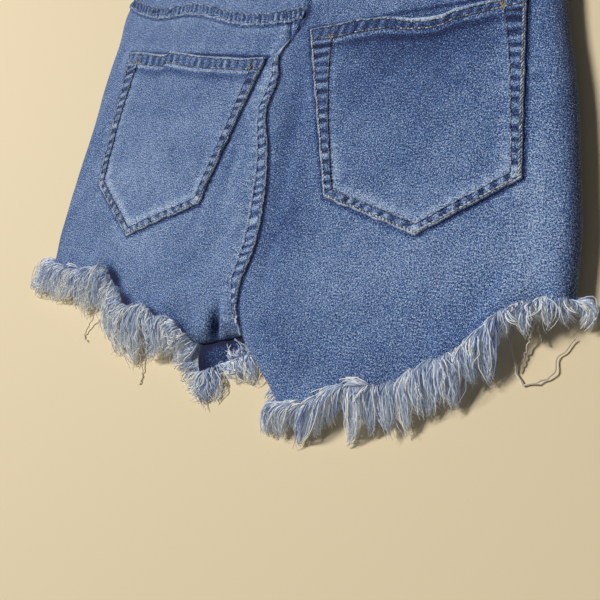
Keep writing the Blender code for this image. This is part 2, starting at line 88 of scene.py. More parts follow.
sides = table(
    "y left right loft",
    [
        (-0.300, 0.2280, 0.2215, 0.0220),
        (-0.192, 0.2275, 0.2215, 0.0225),
        (-0.150, 0.2230, 0.2215, 0.0240),
        (-0.110, 0.2190, 0.2175, 0.0250),
        (-0.060, 0.2140, 0.2115, 0.0250),
        (0.000, 0.2120, 0.2005, 0.0240),
        (0.036, 0.2085, 0.1965, 0.0230),
        (0.066, 0.2090, 0.1960, 0.0220),
        (0.100, 0.1990, 0.1920, 0.0210),
        (0.140, 0.1860, 0.1820, 0.0205),
    ],
)
centreBack = table(
    "y x",
    [
        (-0.233, 0.000),
        (-0.222, -0.004),
        (-0.205, -0.007),
        (-0.192, -0.006),
        (-0.175, -0.001),
        (-0.160, 0.001),
        (-0.130, 0.001),
        (-0.091, -0.004),
        (-0.058, -0.012),
        (-0.026, -0.0080),
        (-0.018, -0.0102),
        (-0.010, -0.0106),
        (-0.004, -0.0088),
        (0.002, -0.0050),
        (0.010, -0.0015),
        (0.022, 0.000),
        (0.150, 0.000),
    ],
)
yokeSeam = table(
    "x y",
    [
        (-0.240, 0.094),
        (-0.215, 0.084),
        (-0.185, 0.065),
        (-0.158, 0.054),
        (-0.112, 0.049),
        (-0.049, 0.0265),
        (0.003, 0.0215),
        (0.050, 0.0240),
        (0.110, 0.0310),
        (0.155, 0.0370),
        (0.190, 0.0460),
        (0.240, 0.0655),
    ],
)
# Cut hems from the inner leg out: where the back is cut, how far it stands up, and the front's cut
hemRight = table(
    "x y lift front",
    [
        (0.0425, -0.278, -0.004, 0.004),
        (0.058, -0.275, -0.003, 0.004),
        (0.068, -0.273, -0.002, 0.004),
        (0.087, -0.259, 0.000, 0.002),
        (0.104, -0.257, -0.001, 0.004),
        (0.124, -0.250, -0.002, 0.004),
        (0.141, -0.237, -0.002, 0.004),
        (0.158, -0.227, 0.000, 0.004),
        (0.169, -0.216, 0.001, 0.004),
        (0.183, -0.201, 0.003, 0.004),
        (0.204, -0.191, 0.001, 0.003),
        (0.240, -0.190, 0.000, 0.003),
    ],
)
hemLeft = table(
    "x y lift front",
    [
        (0.000, -0.244, -0.006, 0.000),
        (0.040, -0.245, -0.006, -0.021),
        (0.048, -0.237, -0.004, -0.020),
        (0.076, -0.227, -0.001, -0.008),
        (0.095, -0.220, -0.002, 0.000),
        (0.116, -0.219, -0.003, 0.002),
        (0.130, -0.207, -0.004, 0.002),
        (0.143, -0.194, -0.001, 0.002),
        (0.180, -0.196, -0.002, 0.004),
        (0.204, -0.193, -0.003, 0.003),
        (0.245, -0.184, -0.003, 0.002),
    ],
)
# Soft troughs and ridges of the back: middle, run, half sizes and height
backCreases = table(
    "x y turn halfLength halfWidth amount",
    [
        (-0.0225, -0.231, 80, 0.013, 0.0042, -0.0080),
        (-0.046, -0.205, 35, 0.040, 0.012, 0.0022),
        (0.034, -0.235, -40, 0.034, 0.010, 0.0018),
        (-0.014, -0.110, 86, 0.110, 0.009, 0.0012),
        (0.018, -0.150, 92, 0.080, 0.008, -0.0012),
        (0.120, -0.215, 10, 0.060, 0.013, -0.0016),
        (-0.130, -0.165, 160, 0.060, 0.014, -0.0016),
        (0.100, 0.035, 15, 0.090, 0.010, -0.0012),
        (0.070, -0.185, 12, 0.050, 0.007, 0.0005),
        (0.165, -0.165, 60, 0.035, 0.008, 0.0005),
        (-0.090, -0.190, 20, 0.035, 0.007, 0.0006),
        (-0.195, -0.060, 82, 0.060, 0.006, 0.0006),
        (0.196, -0.080, 95, 0.070, 0.006, 0.0006),
        (-0.100, 0.032, 170, 0.045, 0.006, 0.0007),
        (-0.0022, 0.0125, 100, 0.0075, 0.0022, -0.0022),
        (0.0045, 0.0115, 46, 0.0060, 0.0022, -0.0018),
        (0.0180, -0.0850, 88, 0.0450, 0.0080, -0.0012),
    ],
)
frontCreases = table(
    "x y turn halfLength halfWidth amount",
    [
        (0.045, -0.200, -48, 0.050, 0.007, 0.0005),
        (-0.050, -0.190, 44, 0.045, 0.006, 0.0005),
        (0.120, -0.120, 75, 0.070, 0.008, 0.0004),
        (-0.125, -0.090, 98, 0.060, 0.007, 0.0004),
        (0.080, 0.010, 20, 0.050, 0.006, 0.0003),
    ],
)
seamWidths = table(  # of the centre-back band, as shares
    "y share",
    [
        (-0.2400, 0.36),
        (-0.2270, 0.40),
        (-0.2120, 0.52),
        (-0.1900, 0.85),
        (-0.1500, 1.00),
        (-0.1000, 0.85),
        (-0.0600, 0.72),
        (-0.0320, 0.66),
        (-0.0180, 0.54),
        (-0.0100, 0.42),
        (-0.0030, 0.22),
        (0.0040, 0.08),
    ],
)
pocketRight = table(
    "x y",
    [(0.017, 0.010), (0.176, 0.011), (0.187, -0.118), (0.126, -0.156), (0.056, -0.130)],
)
pocketLeft = table(
    "x y",
    [(-0.0185, -0.010), (-0.180, 0.019), (-0.179, -0.115), (-0.131, -0.163), (-0.056, -0.135)],
)
# Paler and darker places of the back, worn ones and painted shade and shadows: middle, run, half sizes
# and amount
backMarksAndShadows = table(
    "x y turn halfLength halfWidth amount",
    [
        (-0.130, -0.110, 100, 0.050, 0.035, 0.22),
        (-0.110, -0.165, 20, 0.080, 0.022, 0.12),
        (-0.060, -0.060, 70, 0.070, 0.018, 0.10),
        (-0.020, -0.170, 80, 0.060, 0.014, 0.10),
        (0.050, -0.165, 15, 0.060, 0.020, -0.02),
        (0.095, -0.048, 0, 0.070, 0.036, -0.26),
        (0.110, 0.005, 0, 0.080, 0.014, -0.26),
        (0.215, -0.090, 90, 0.120, 0.012, -0.18),
        (-0.214, -0.060, 88, 0.140, 0.007, -0.20),
        (0.060, -0.250, -20, 0.050, 0.020, -0.10),
        (0.150, -0.220, 30, 0.060, 0.016, -0.08),
        (-0.100, 0.060, 10, 0.080, 0.014, 0.12),
        # painted shade along the trough right of the centre seam
        (0.012, -0.060, 88, 0.090, 0.006, -0.12),
        (-0.030, -0.020, 75, 0.030, 0.010, -0.18),
        # painted shade: the dark slot of the crease above the turned piece
        (-0.0225, -0.2300, 80, 0.0125, 0.0036, -1.20),
        # painted shadows on the cloth beside the left hem's raised tabs, next to the fringe
        (-0.1385, -0.2005, -48, 0.0105, 0.0040, -2.60),
        (-0.1210, -0.2185, -35, 0.0105, 0.0046, -2.30),
        (-0.0830, -0.2265, -25, 0.0100, 0.0028, -1.90),
        (-0.0500, -0.2400, -45, 0.0120, 0.0030, -2.00),
        (0.105, -0.016, 0, 0.070, 0.020, -0.24),
        (0.030, -0.150, 95, 0.080, 0.020, -0.26),
        (0.020, 0.015, 95, 0.030, 0.014, -0.14),
        # painted shade in the two creases of the V below the yoke band's end
        (-0.0022, 0.0125, 100, 0.0075, 0.0011, -1.40),
        (0.0045, 0.0115, 46, 0.0065, 0.0012, -1.10),
        # painted shadow beside the left yoke band's rounded end, running on up
        (0.0110, 0.0270, 86, 0.0095, 0.0024, -1.30),
        (0.0100, 0.0450, 88, 0.0100, 0.0012, -0.90),
        # painted shade in the trough right of the centre seam, over its crease
        (0.0180, -0.0850, 88, 0.0420, 0.0080, -0.22),
        # painted light: paler on the right of the back and its side, in place of more light falling
        # there
        (0.1000, -0.1800, 10, 0.0900, 0.0260, 0.16),
        (0.2000, -0.1500, 90, 0.0500, 0.0180, 0.36),
        (0.1100, -0.0100, 0, 0.0750, 0.0150, -0.30),
        (-0.014, -0.030, 75, 0.030, 0.004, 0.16),
        (-0.026, -0.105, 84, 0.035, 0.0035, 0.16),
        (-0.034, -0.100, 84, 0.040, 0.0035, -0.12),
    ],
)
frontWear = table(
    "x y turn halfLength halfWidth amount",
    [
        (0.105, -0.130, 88, 0.080, 0.040, 0.16),
        (-0.105, -0.125, 92, 0.080, 0.040, 0.16),
        (0.215, -0.100, 90, 0.120, 0.012, -0.20),
        (-0.212, -0.100, 90, 0.120, 0.012, -0.20),
        (0.020, -0.210, -60, 0.040, 0.012, 0.12),
        (-0.012, -0.205, 60, 0.035, 0.010, 0.10),
    ],
)


# Curves and fields that the cloth's form and wear are made of
def smoothCurve(at, known, values):
    # cubic pieces through the rows, with slopes from the neighbouring rows
    at = np.asarray(at, float)
    slope = np.gradient(values, known)
    row = np.clip(np.searchsorted(known, at) - 1, 0, len(known) - 2)
    step = known[row + 1] - known[row]
    t = np.clip((at - known[row]) / step, 0, 1)
    return (
        (1 + 2 * t) * (1 - t) ** 2 * values[row]
        + t * (1 - t) ** 2 * step * slope[row]
        + t * t * (3 - 2 * t) * values[row + 1]
        + t * t * (t - 1) * step * slope[row + 1]
    )


def ease(t):  # 0 to 1 with a soft start and end: t^2 (3 - 2t)
    t = np.clip(t, 0, 1)
    return t * t * (3 - 2 * t)


def hump(distance, width):  # 1 at zero distance, falling as a bell curve
    return np.exp(-((distance / width) ** 2))


def mix(a, b, t):
    return a + (b - a) * t


def waves(t, pitch, seed):
    # uneven ripple of about -1 to 1: five sines of nearby pitches and seeded phases
    draw = np.random.default_rng(seed)
    pitches, phases = pitch * draw.uniform(0.6, 1.7, 5), draw.uniform(0, 2 * math.pi, 5)
    return np.sin(2 * math.pi * np.asarray(t)[..., None] / pitches + phases).sum(-1) / 2.4


def ladder(t, pitch, seed):
    # squared-off ripple of about -1 to 1: tanh of a sine whose phase wanders, in uneven strength
    wander = 1.3 * waves(t, 5.3 * pitch, seed)
    strength = 0.78 + 0.30 * waves(t, 2.7 * pitch, seed + 1)
    return strength * np.tanh(1.9 * np.sin(2 * math.pi * np.asarray(t) / pitch + wander))


def mottle(x, y, pitch, seed):
    # uneven patches of about -1 to 1: twelve plane waves in seeded directions
    draw = np.random.default_rng(seed)
    angles, phases = draw.uniform(0, math.pi, 12), draw.uniform(0, 2 * math.pi, 12)
    pitches = pitch * draw.uniform(0.6, 1.8, 12)
    run = x[..., None] * np.cos(angles) + y[..., None] * np.sin(angles)
    return np.sin(2 * math.pi * run / pitches + phases).sum(-1) / 3.5


def marks(x, y, rows):
    # the sum of the rows' soft ovals: amount * exp(-(run/halfLength)^2 - (across/halfWidth)^2)
    total = np.zeros(np.broadcast(x, y).shape)
    for mx, my, turn, halfLength, halfWidth, amount in zip(*rows.values()):
        c, s = math.cos(math.radians(turn)), math.sin(math.radians(turn))
        run = ((x - mx) * c + (y - my) * s) / halfLength
        across = ((y - my) * c - (x - mx) * s) / halfWidth
        total = total + amount * np.exp(-(run**2) - across**2)
    return total


def cornersOf(pocket):
    return np.stack([pocket["x"], pocket["y"]], -1)


def polygonDistance(x, y, corners):
    # (distance inside the nearest edge, run along the outline there); below zero outside
    following = np.roll(corners, -1, axis=0)
    inside = np.full(np.shape(x), np.inf)
    run, start = np.zeros(np.shape(x)), 0.0
    turning = np.sign(np.cross(corners[1] - corners[0], corners[2] - corners[1]))
    for a, b in zip(corners, following):
        length = np.hypot(*(b - a))
        along = ((x - a[0]) * (b[0] - a[0]) + (y - a[1]) * (b[1] - a[1])) / length
        away = turning * ((b[0] - a[0]) * (y - a[1]) - (b[1] - a[1]) * (x - a[0])) / length
        nearer = away < inside
        inside, run = np.where(nearer, away, inside), np.where(nearer, start + along, run)
        start += length
    return inside, run


# The garment's outlines and its two surfaces, as functions of a place on the cloth
def sideX(sign, y):
    left = smoothCurve(y, sides["y"], sides["left"])
    right = smoothCurve(y, sides["y"], sides["right"])
    return np.where(np.asarray(sign) < 0, left, right)


def loft(y):
    return smoothCurve(y, sides["y"], sides["loft"])


def centreBackX(y):
    return smoothCurve(y, centreBack["y"], centreBack["x"])


def yokeY(x):
    step = waist["yokeStep"] * ease((np.asarray(x) - waist["stepStart"]) / waist["stepRun"])
    return smoothCurve(x, yokeSeam["x"], yokeSeam["y"]) + step


def waistY(x, dip):
    return waist["sideY"] - dip * (1 - ease(np.abs(x) / waist["dipReach"]))


def hem(x, column):
    right = smoothCurve(x, hemRight["x"], hemRight[column])
    left = smoothCurve(-x, hemLeft["x"], hemLeft[column])
    return np.where(np.asarray(x) < garment["crotch"][0], left, right)


def segmentDistance(x, y, start, end):
    run = np.array(end) - np.array(start)
    t = np.clip(((x - start[0]) * run[0] + (y - start[1]) * run[1]) / (run @ run), 0, 1)
    return np.hypot(x - start[0] - t * run[0], y - start[1] - t * run[1])


def notchShare(x, y, leftEnd):
    # 0 at the crotch and the inner legs, rising on a quarter circle to 1 on the flat cloth
    crotch, rightEnd = garment["crotch"], garment["rightLegEdge"]
    rightSlope = (rightEnd[1] - crotch[1]) / (rightEnd[0] - crotch[0])
    leftSlope = (leftEnd[1] - crotch[1]) / (leftEnd[0] - crotch[0])
    reach = garment["notchReach"]
    rightFar = (crotch[0] + reach, crotch[1] + reach * rightSlope)
    leftFar = (crotch[0] - reach, crotch[1] - reach * leftSlope)
    away = np.minimum(
        segmentDistance(x, y, crotch, rightFar), segmentDistance(x, y, crotch, leftFar)
    )
    slope = np.where(x > crotch[0], rightSlope, leftSlope)
    inside = y > crotch[1] + (x - crotch[0]) * slope
    t = np.clip(np.where(inside, away, 0) / garment["legRoll"], 0, 1)
    return np.sqrt(1 - (1 - t) ** 2)


def roundSide(s, y):
    # (x, turn) of a place s across: turn goes from 0 to a right angle round the side fold
    sign = np.where(s < 0, -1.0, 1.0)
    flat = sideX(sign, y) - garment["sideRoll"]
    turn = np.clip((np.abs(s) - flat) / garment["sideRoll"], 0, math.pi / 2 + 0.1)
    return sign * (np.minimum(np.abs(s), flat) + garment["sideRoll"] * np.sin(turn)), turn


def sideS(sign, y):  # how far across the side seam is
    return sideX(sign, y) + garment["sideRoll"] * (math.pi / 2 - 1)


def seamRipple(x, y):
    # small puckers beside the seams and the pockets' edges, dying away over a few millimetres
    centre = ladder(y, fellCentre["pitch"], 61) * hump(x - centreBackX(y), 0.009)
    yoke = ladder(x, fellYoke["pitch"], 65) * hump(y - yokeY(x) - 0.003, 0.010)
    total = 0.00026 * centre + 0.00040 * yoke
    for number, pocket in enumerate((pocketLeft, pocketRight)):
        inside, run = polygonDistance(x, y, cornersOf(pocket))
        total = total + 0.00022 * waves(run, 0.010, 11 + number) * hump(inside + 0.001, 0.006)
    return total


def innerEdge(x, low, more):  # height of the cloth's edge at the inner legs, more on the right
    return low + more * ease((x - garment["crotch"][0] + 0.010) / 0.020)


def backSurface(s, y):
    # mid-surface: loft with a crown, creases and hem lift, rolled over at the sides and inner legs
    x, turn = roundSide(s, y)
    height = loft(y)
    seam = garment["seamShare"] * height
    inward = y - hem(x, "y")
    rise = hem(x, "lift") * ease(1 - inward / garment["hemRise"])
    rise = rise + 0.0007 * waves(x, 0.030, 21) * ease(1 - inward / 0.020)
    top = height * (1 - garment["crown"] * (x / sideX(x, y)) ** 2) + rise
    top = top + marks(x, y, backCreases) + seamRipple(x, y) + 0.00016 * mottle(x, y, 0.024, 9)
    z = seam + (top - seam) * np.cos(turn)
    edge = innerEdge(x, *garment["backEdge"])
    z = edge + (z - edge) * notchShare(x, y, garment["leftLegEdge"])
    return np.stack([x, y, z], -1)


def frontSurface(s, y):
    # mid-surface: flat on the surface below, lifted over the loops and the button
    x, turn = roundSide(s, y)
    seam = garment["seamShare"] * loft(y)
    up = waist["rest"] + (waist["cloth"] - garment["denim"]) / 2
    nearWaist = ease(1 - (waistY(x, waist["frontDip"]) - y) / 0.025)
    button = np.hypot(x, y - waistY(0.0, waist["frontDip"]) - waist["height"] / 2)
    flat = garment["denim"] / 2 + up * nearWaist
    flat = flat + waist["buttonRise"] * hump(button, waist["buttonReach"])
    flat = flat + marks(x, y, frontCreases) * (1 - nearWaist)
    z = flat + (seam - flat) * (1 - np.cos(turn))
    edge = innerEdge(x, *garment["frontEdge"])
    z = z + edge * (1 - notchShare(x, y, garment["leftLegFold"]))
    return np.stack([x, y, z], -1)


def outward(surface, s, y):
    # unit normal on the garment's outer side: the cross product of the two small steps
    step = 0.0004
    across = surface(s + step, y) - surface(s - step, y)
    along = surface(s, y + step) - surface(s, y - step)
    normal = np.cross(across, along)
    normal /= np.linalg.norm(normal, axis=-1, keepdims=True)
    return -normal if surface is frontSurface else normal


def raised(surface, s, y, height):
    # points at a height above the mid-surface, on the outer side
    s, y = np.broadcast_arrays(np.asarray(s, float), np.asarray(y, float))
    return surface(s, y) + outward(surface, s, y) * np.asarray(height)[..., None]


# Colours, and shader nodes written as expressions
def linear(*srgb):
    # 0 to 255 as the eye sees it, to the linear colour that a shader takes
    share = np.array(srgb) / 255
    return (*np.where(share <= 0.04045, share / 12.92, ((share + 0.055) / 1.055) ** 2.4), 1.0)


class Wire:
    # one socket of a material; arithmetic on it adds Math nodes
    def __init__(self, sheet, socket):
        self.sheet, self.socket = sheet, socket

    def maths(self, operation, *others):
        return self.sheet.node("ShaderNodeMath", dict(operation=operation), self, *others)

    def __add__(self, other):
        return self.maths("ADD", other)

    def __sub__(self, other):
        return self.maths("SUBTRACT", other)

    def __mul__(self, other):
        return self.maths("MULTIPLY", other)

    def __truediv__(self, other):
        return self.maths("DIVIDE", other)

    def __rsub__(self, other):
        return self.sheet.node("ShaderNodeMath", dict(operation="SUBTRACT"), other, self)

    def __rtruediv__(self, other):
        return self.sheet.node("ShaderNodeMath", dict(operation="DIVIDE"), other, self)

    __radd__, __rmul__ = __add__, __mul__

    def sine(self):
        return self.maths("SINE")


class Finish:
    # a material under construction: node() takes a type, its settings and its sockets' values or links
    def __init__(self, name, **constants):
        self.material = bpy.data.materials.new(name)
        self.material.use_nodes = True
        self.tree = self.material.node_tree
        self.shader = self.tree.nodes["Principled BSDF"]
        for socket, value in constants.items():
            self.shader.inputs[socket.replace("_", " ")].default_value = value

    def node(self, kind, settings=None, *values, output=0, **named):
        made = self.tree.nodes.new(kind)
        for setting, value in (settings or {}).items():
            if setting == "stops":
                self.setStops(made.color_ramp, value)
            else:
                setattr(made, setting, value)
        for key, value in [*enumerate(values), *named.items()]:
            socket = made.inputs[key if isinstance(key, int) else key.replace("_", " ")]
            if isinstance(value, Wire):
                self.tree.links.new(value.socket, socket)
            else:
                socket.default_value = value
        return Wire(self, made.outputs[output])

    def setStops(self, ramp, stops):
        while len(ramp.elements) < len(stops):
            ramp.elements.new(0.5)
        for element, (place, colour) in zip(ramp.elements, stops):
            element.position, element.color = place, colour

    def attribute(self, name):
        return self.node("ShaderNodeAttribute", dict(attribute_name=name), output=2)

    def ramp(self, value, *stops):
        return self.node("ShaderNodeValToRGB", dict(stops=stops), value)

    def noise(self, vector, scale, detail=2.0, roughness=0.5):
        return self.node(
            "ShaderNodeTexNoise", None, Vector=vector, Scale=scale, Detail=detail, Roughness=roughness
        )

    def scaled(self, vector, *factors):
        return self.node("ShaderNodeVectorMath", dict(operation="MULTIPLY"), vector, factors)

    def finish(self, **links):
        for socket, wire in links.items():
            self.tree.links.new(wire.socket, self.shader.inputs[socket.replace("_", " ")])
        return self.material


denimLook = dict(
    # darkest stop, reached mostly by the painted shadows and painted crease shade
    deepShade=linear(12, 20, 58),
    dark=linear(21, 39, 100),
    middle=linear(66, 102, 160),
    light=linear(135, 168, 215),
    pale=linear(206, 217, 229),
    insideDark=linear(120, 134, 160),
    insidePale=linear(205, 212, 220),
    grain=1.75,  # salt-and-pepper contrast
    twill=0.05,  # contrast of the diagonal lines
    twillPitch=0.0011,
    slub=0.30,  # contrast of the longer yarn streaks
    cloud=0.12,  # contrast of the broad patches
    scales=dict(pepper=900, fleck=1900, weft=900, warp=760, cloud=40),
    bump=0.00022,
)


def denimFinish():
    # cloth coordinates (s, y) carry the yarns; the wear attribute pales or darkens, for wear and for
    # painted shade and shadows; "inside" is the weft side
    look = denimLook
    made = Finish("washedDenim", Roughness=0.88, Sheen_Weight=0.12, Sheen_Roughness=0.6)
    made.shader.inputs["Specular IOR Level"].default_value = 0.25
    cloth = made.node("ShaderNodeUVMap", dict(uv_map="cloth"))
    across = made.node("ShaderNodeSeparateXYZ", None, cloth)
    along = Wire(made, across.socket.node.outputs[1])
    twill = ((across * 0.89 + along * 0.45) * (2 * math.pi / look["twillPitch"])).sine()
    scales = look["scales"]
    pepper = made.noise(made.scaled(cloth, 1, 0.95, 1), scales["pepper"], 4.0, 0.82)
    fleck = made.noise(made.scaled(cloth, 1, 0.7, 1), scales["fleck"], 2.0, 0.7)
    weft = made.noise(made.scaled(cloth, 0.2, 1, 1), scales["weft"], 1.0, 0.5)
    warp = made.noise(made.scaled(cloth, 1, 0.12, 1), scales["warp"], 2.0, 0.6)
    cloud = made.noise(cloth, scales["cloud"], 3.0, 0.6)
    grain = (pepper - 0.5) * 2.2 + (fleck - 0.5) * 1.6 + (weft - 0.5) * 0.2
    streak = (warp - 0.5) * look["slub"] + (cloud - 0.5) * look["cloud"]
    value = grain * look["grain"] + twill * look["twill"] + streak + 0.5
    value = value + made.attribute("wear") * 0.5
    outer = made.ramp(
        value,
        (0.0, look["deepShade"]),
        (0.14, look["dark"]),
        (0.5, look["middle"]),
        (0.82, look["light"]),
        (1.0, look["pale"]),
    )
    inner = made.ramp(value, (0.1, look["insideDark"]), (0.9, look["insidePale"]))
    colour = made.node(
        "ShaderNodeMix", dict(data_type="RGBA"), output=2, Factor=made.attribute("inside")
    )
    ends = [i for i in colour.socket.node.inputs if i.type == "RGBA"]
    made.tree.links.new(outer.socket, ends[0])
    made.tree.links.new(inner.socket, ends[1])
    height = twill * 0.35 + grain * 0.8
    bump = made.node(
        "ShaderNodeBump", None, Strength=0.45, Distance=look["bump"], Height=height
    )
    return made.finish(Base_Color=colour, Normal=bump)


def threadFinish(name, dark, middle, pale, roughness, sheen=0.1, paintedGlow=0.0):
    # "tone" is each strand's own shade, with a fine mottling over it; glow is an emission in the
    # strand's own colour, painted light standing in for the light that thin yarns pass on to each
    # other
    made = Finish(name, Roughness=roughness, Sheen_Weight=sheen)
    made.shader.inputs["Specular IOR Level"].default_value = 0.2
    place = made.node("ShaderNodeTexCoord", output=3)
    value = made.attribute("tone") + (made.noise(place, 2400, 1.0) - 0.5) * 0.3
    colour = made.ramp(value, (0.0, dark), (0.5, middle), (1.0, pale))
    # painted light: the strands glow in their own colour
    made.shader.inputs["Emission Strength"].default_value = paintedGlow
    return made.finish(Base_Color=colour, Emission_Color=colour)


def metalFinish(name, dark, pale, roughness):
    # dull brass with worn, paler patches
    made = Finish(name, Metallic=1.0)
    place = made.node("ShaderNodeTexCoord", output=3)
    worn = made.noise(place, 420, 3.0)
    colour = made.ramp(worn, (0.3, dark), (0.7, pale))
    return made.finish(Base_Color=colour, Roughness=worn * 0.25 + roughness)


denimCloth = denimFinish()
seamThread = threadFinish(
    "topstitchThread", linear(36, 42, 48), linear(126, 130, 126), linear(216, 215, 208),
    roughness=0.8,
)
tackThread = threadFinish(
    "bartackThread", linear(86, 80, 66), linear(152, 138, 110), linear(208, 198, 170),
    roughness=0.75,
)
frayThread = threadFinish(
    "frayedYarn", linear(104, 128, 176), linear(192, 207, 232), linear(255, 253, 244),
    roughness=0.9, sheen=0.5, paintedGlow=0.088,
)
strayYarn = threadFinish(
    "strayYarn", linear(158, 146, 134), linear(206, 196, 182), linear(232, 226, 216),
    roughness=0.9, sheen=0.2,
)
zipTape = threadFinish(
    "zipTape", linear(40, 48, 70), linear(56, 66, 92), linear(74, 84, 110), roughness=0.9
)
brass = metalFinish("agedBrass", (0.20, 0.13, 0.06, 1), (0.50, 0.37, 0.19, 1), roughness=0.28)
print("materials made")


# Meshes from whole arrays
def makePiece(name, points, faceSets, material, fields=None, cloth=None, replaced=()):
    # points (n, 3), faces as arrays of equal-sided faces, one value a point in each field
    points = points - np.array(garment["middle"])
    loops = np.concatenate([faces.reshape(-1) for faces in faceSets]).astype(np.int32)
    sizes = np.concatenate([np.full(len(faces), faces.shape[1]) for faces in faceSets])
    mesh = bpy.data.meshes.new(name)
    mesh.vertices.add(len(points))
    mesh.vertices.foreach_set("co", points.astype(np.float32).ravel())
    mesh.loops.add(len(loops))
    mesh.loops.foreach_set("vertex_index", loops)
    mesh.polygons.add(len(sizes))
    mesh.polygons.foreach_set("loop_start", np.r_[0, np.cumsum(sizes)[:-1]].astype(np.int32))
    mesh.update(calc_edges=True)
    mesh.validate()
    mesh.shade_smooth()
    for key, values in (fields or {}).items():
        mesh.attributes.new(key, "FLOAT", "POINT").data.foreach_set(
            "value", np.asarray(values, np.float32).ravel()
        )
    if cloth is not None:
        layer = mesh.uv_layers.new(name="cloth")
        layer.data.foreach_set("uv", cloth[loops].astype(np.float32).ravel())
    mesh.materials.append(material)
    piece = bpy.data.objects.new(name, mesh)
    bpy.context.scene.collection.objects.link(piece)
    if replaced:
        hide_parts(*replaced)
    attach(piece, "root")
    print(f"  {name}: {int((sizes - 2).sum())} triangles")
    return piece


def gridQuads(rows, columns, first=0):
    index = np.arange(rows * columns).reshape(rows, columns) + first
    corners = [index[:-1, :-1], index[:-1, 1:], index[1:, 1:], index[1:, :-1]]
    return np.stack(corners, -1).reshape(-1, 4)


def rimOf(index):  # the grid's border, once round
    return np.concatenate([index[0, :-1], index[:-1, -1], index[-1, :0:-1], index[:0:-1, 0]])


def signedVolume(points, faces):
    corners = points[faces]
    area = np.cross(corners[:, 2] - corners[:, 0], corners[:, 3] - corners[:, 1])
    return (corners.mean(axis=1) * area).sum()


def shellPiece(
    name, outer, inner, wear, cloth, material=None, slot="denim", bulge=0.35, replaced=()
):
    # two skins joined by a rounded rim: the rim's middle row stands out by a share of the wall
    rows, columns = outer.shape[:2]
    count = rows * columns
    index = np.arange(count).reshape(rows, columns)
    rim = rimOf(index)
    inset = np.clip(np.stack(np.divmod(rim, columns), -1), 1, [rows - 2, columns - 2])
    within = index[inset[:, 0], inset[:, 1]]
    skinOut, skinIn = outer.reshape(-1, 3), inner.reshape(-1, 3)
    edge = (skinOut[rim] + skinIn[rim]) / 2
    away = edge - (skinOut[within] + skinIn[within]) / 2
    away /= np.linalg.norm(away, axis=-1, keepdims=True) + 1e-9
    thick = np.linalg.norm(skinOut[rim] - skinIn[rim], axis=-1, keepdims=True)
    middle = edge + away * thick * bulge
    points = np.concatenate([skinOut, skinIn, middle])
    quads = gridQuads(rows, columns)
    middles = np.arange(len(rim)) + 2 * count
    nextRim, nextMiddle = np.roll(rim, -1), np.roll(middles, -1)
    faces = np.concatenate(
        [
            quads,
            quads[:, ::-1] + count,
            np.stack([nextRim, rim, middles, nextMiddle], -1),
            np.stack([nextMiddle, middles, rim + count, nextRim + count], -1),
        ]
    )
    if signedVolume(points, faces) < 0:
        faces = faces[:, ::-1]
    wear, cloth = wear.reshape(-1), cloth.reshape(-1, 2)
    fields = dict(
        wear=np.concatenate([wear, 0 * wear, wear[rim]]),
        inside=np.concatenate([np.zeros(count), np.ones(count), np.full(len(rim), 0.35)]),
        tone=np.full(len(points), 0.5),
    )
    cloth = np.concatenate([cloth, cloth, cloth[rim]])
    return makePiece(name, points, [faces], material or denimCloth, fields, cloth, replaced)


def tubeArrays(lines, radii, sidesCount, flat=1.0, up=(0.13, 0.21, 1.0)):
    # (n, k, 3) centrelines and (n, k) radii to closed tubes: rings of points round each line,
    # radius * (cos a * side + flat * sin a * top), with a cap at both ends
    n, k = lines.shape[:2]
    along = np.gradient(lines, axis=1)
    along /= np.linalg.norm(along, axis=-1, keepdims=True) + 1e-12
    side = np.cross(along, np.broadcast_to(np.asarray(up, float), along.shape))
    side /= np.linalg.norm(side, axis=-1, keepdims=True) + 1e-12
    top = np.cross(side, along)
    angle = np.arange(sidesCount) * 2 * math.pi / sidesCount
    ring = (
        side[:, :, None] * np.cos(angle)[:, None] + flat * top[:, :, None] * np.sin(angle)[:, None]
    )
    points = lines[:, :, None] + ring * np.broadcast_to(radii, (n, k))[:, :, None, None]
    index = np.arange(n * k * sidesCount).reshape(n, k, sidesCount)
    turned = np.roll(index, -1, axis=2)
    quads = np.stack([index[:, :-1], turned[:, :-1], turned[:, 1:], index[:, 1:]], -1)
    caps = np.concatenate([index[:, 0, ::-1], index[:, -1]])
    return points.reshape(-1, 3), [quads.reshape(-1, 4), caps]


def stitchLines(surface, s, y, height, pitch=0.0027, fill=0.90, lean=0.0002):
    # stitches along a path on the cloth: each rises from the cloth, lies over it and dives again
    place = raised(surface, s, y, height)
    run = np.r_[0, np.cumsum(np.linalg.norm(np.diff(place, axis=0), axis=-1))]
    count = max(1, int(run[-1] / pitch))
    t = np.linspace(-0.5, 0.5, 5)
    at = (np.arange(count)[:, None] + 0.5 + t * fill) * run[-1] / count
    along = np.stack([np.interp(at, run, place[:, axis]) for axis in range(3)], -1)
    up = outward(surface, s, y)
    lift = np.stack([np.interp(at, run, up[:, axis]) for axis in range(3)], -1)
    rise = 0.00034 * (1 - (2 * np.abs(t)) ** 2.5) - 0.00014
    turn = np.cross(np.gradient(along, axis=1), lift)
    turn /= np.linalg.norm(turn, axis=-1, keepdims=True) + 1e-12
    lines = along + lift * rise[:, None] + turn * (lean * 2 * t)[:, None]
    lines[..., 2] = np.maximum(lines[..., 2], 0.0004)  # none goes under the floor
    return lines


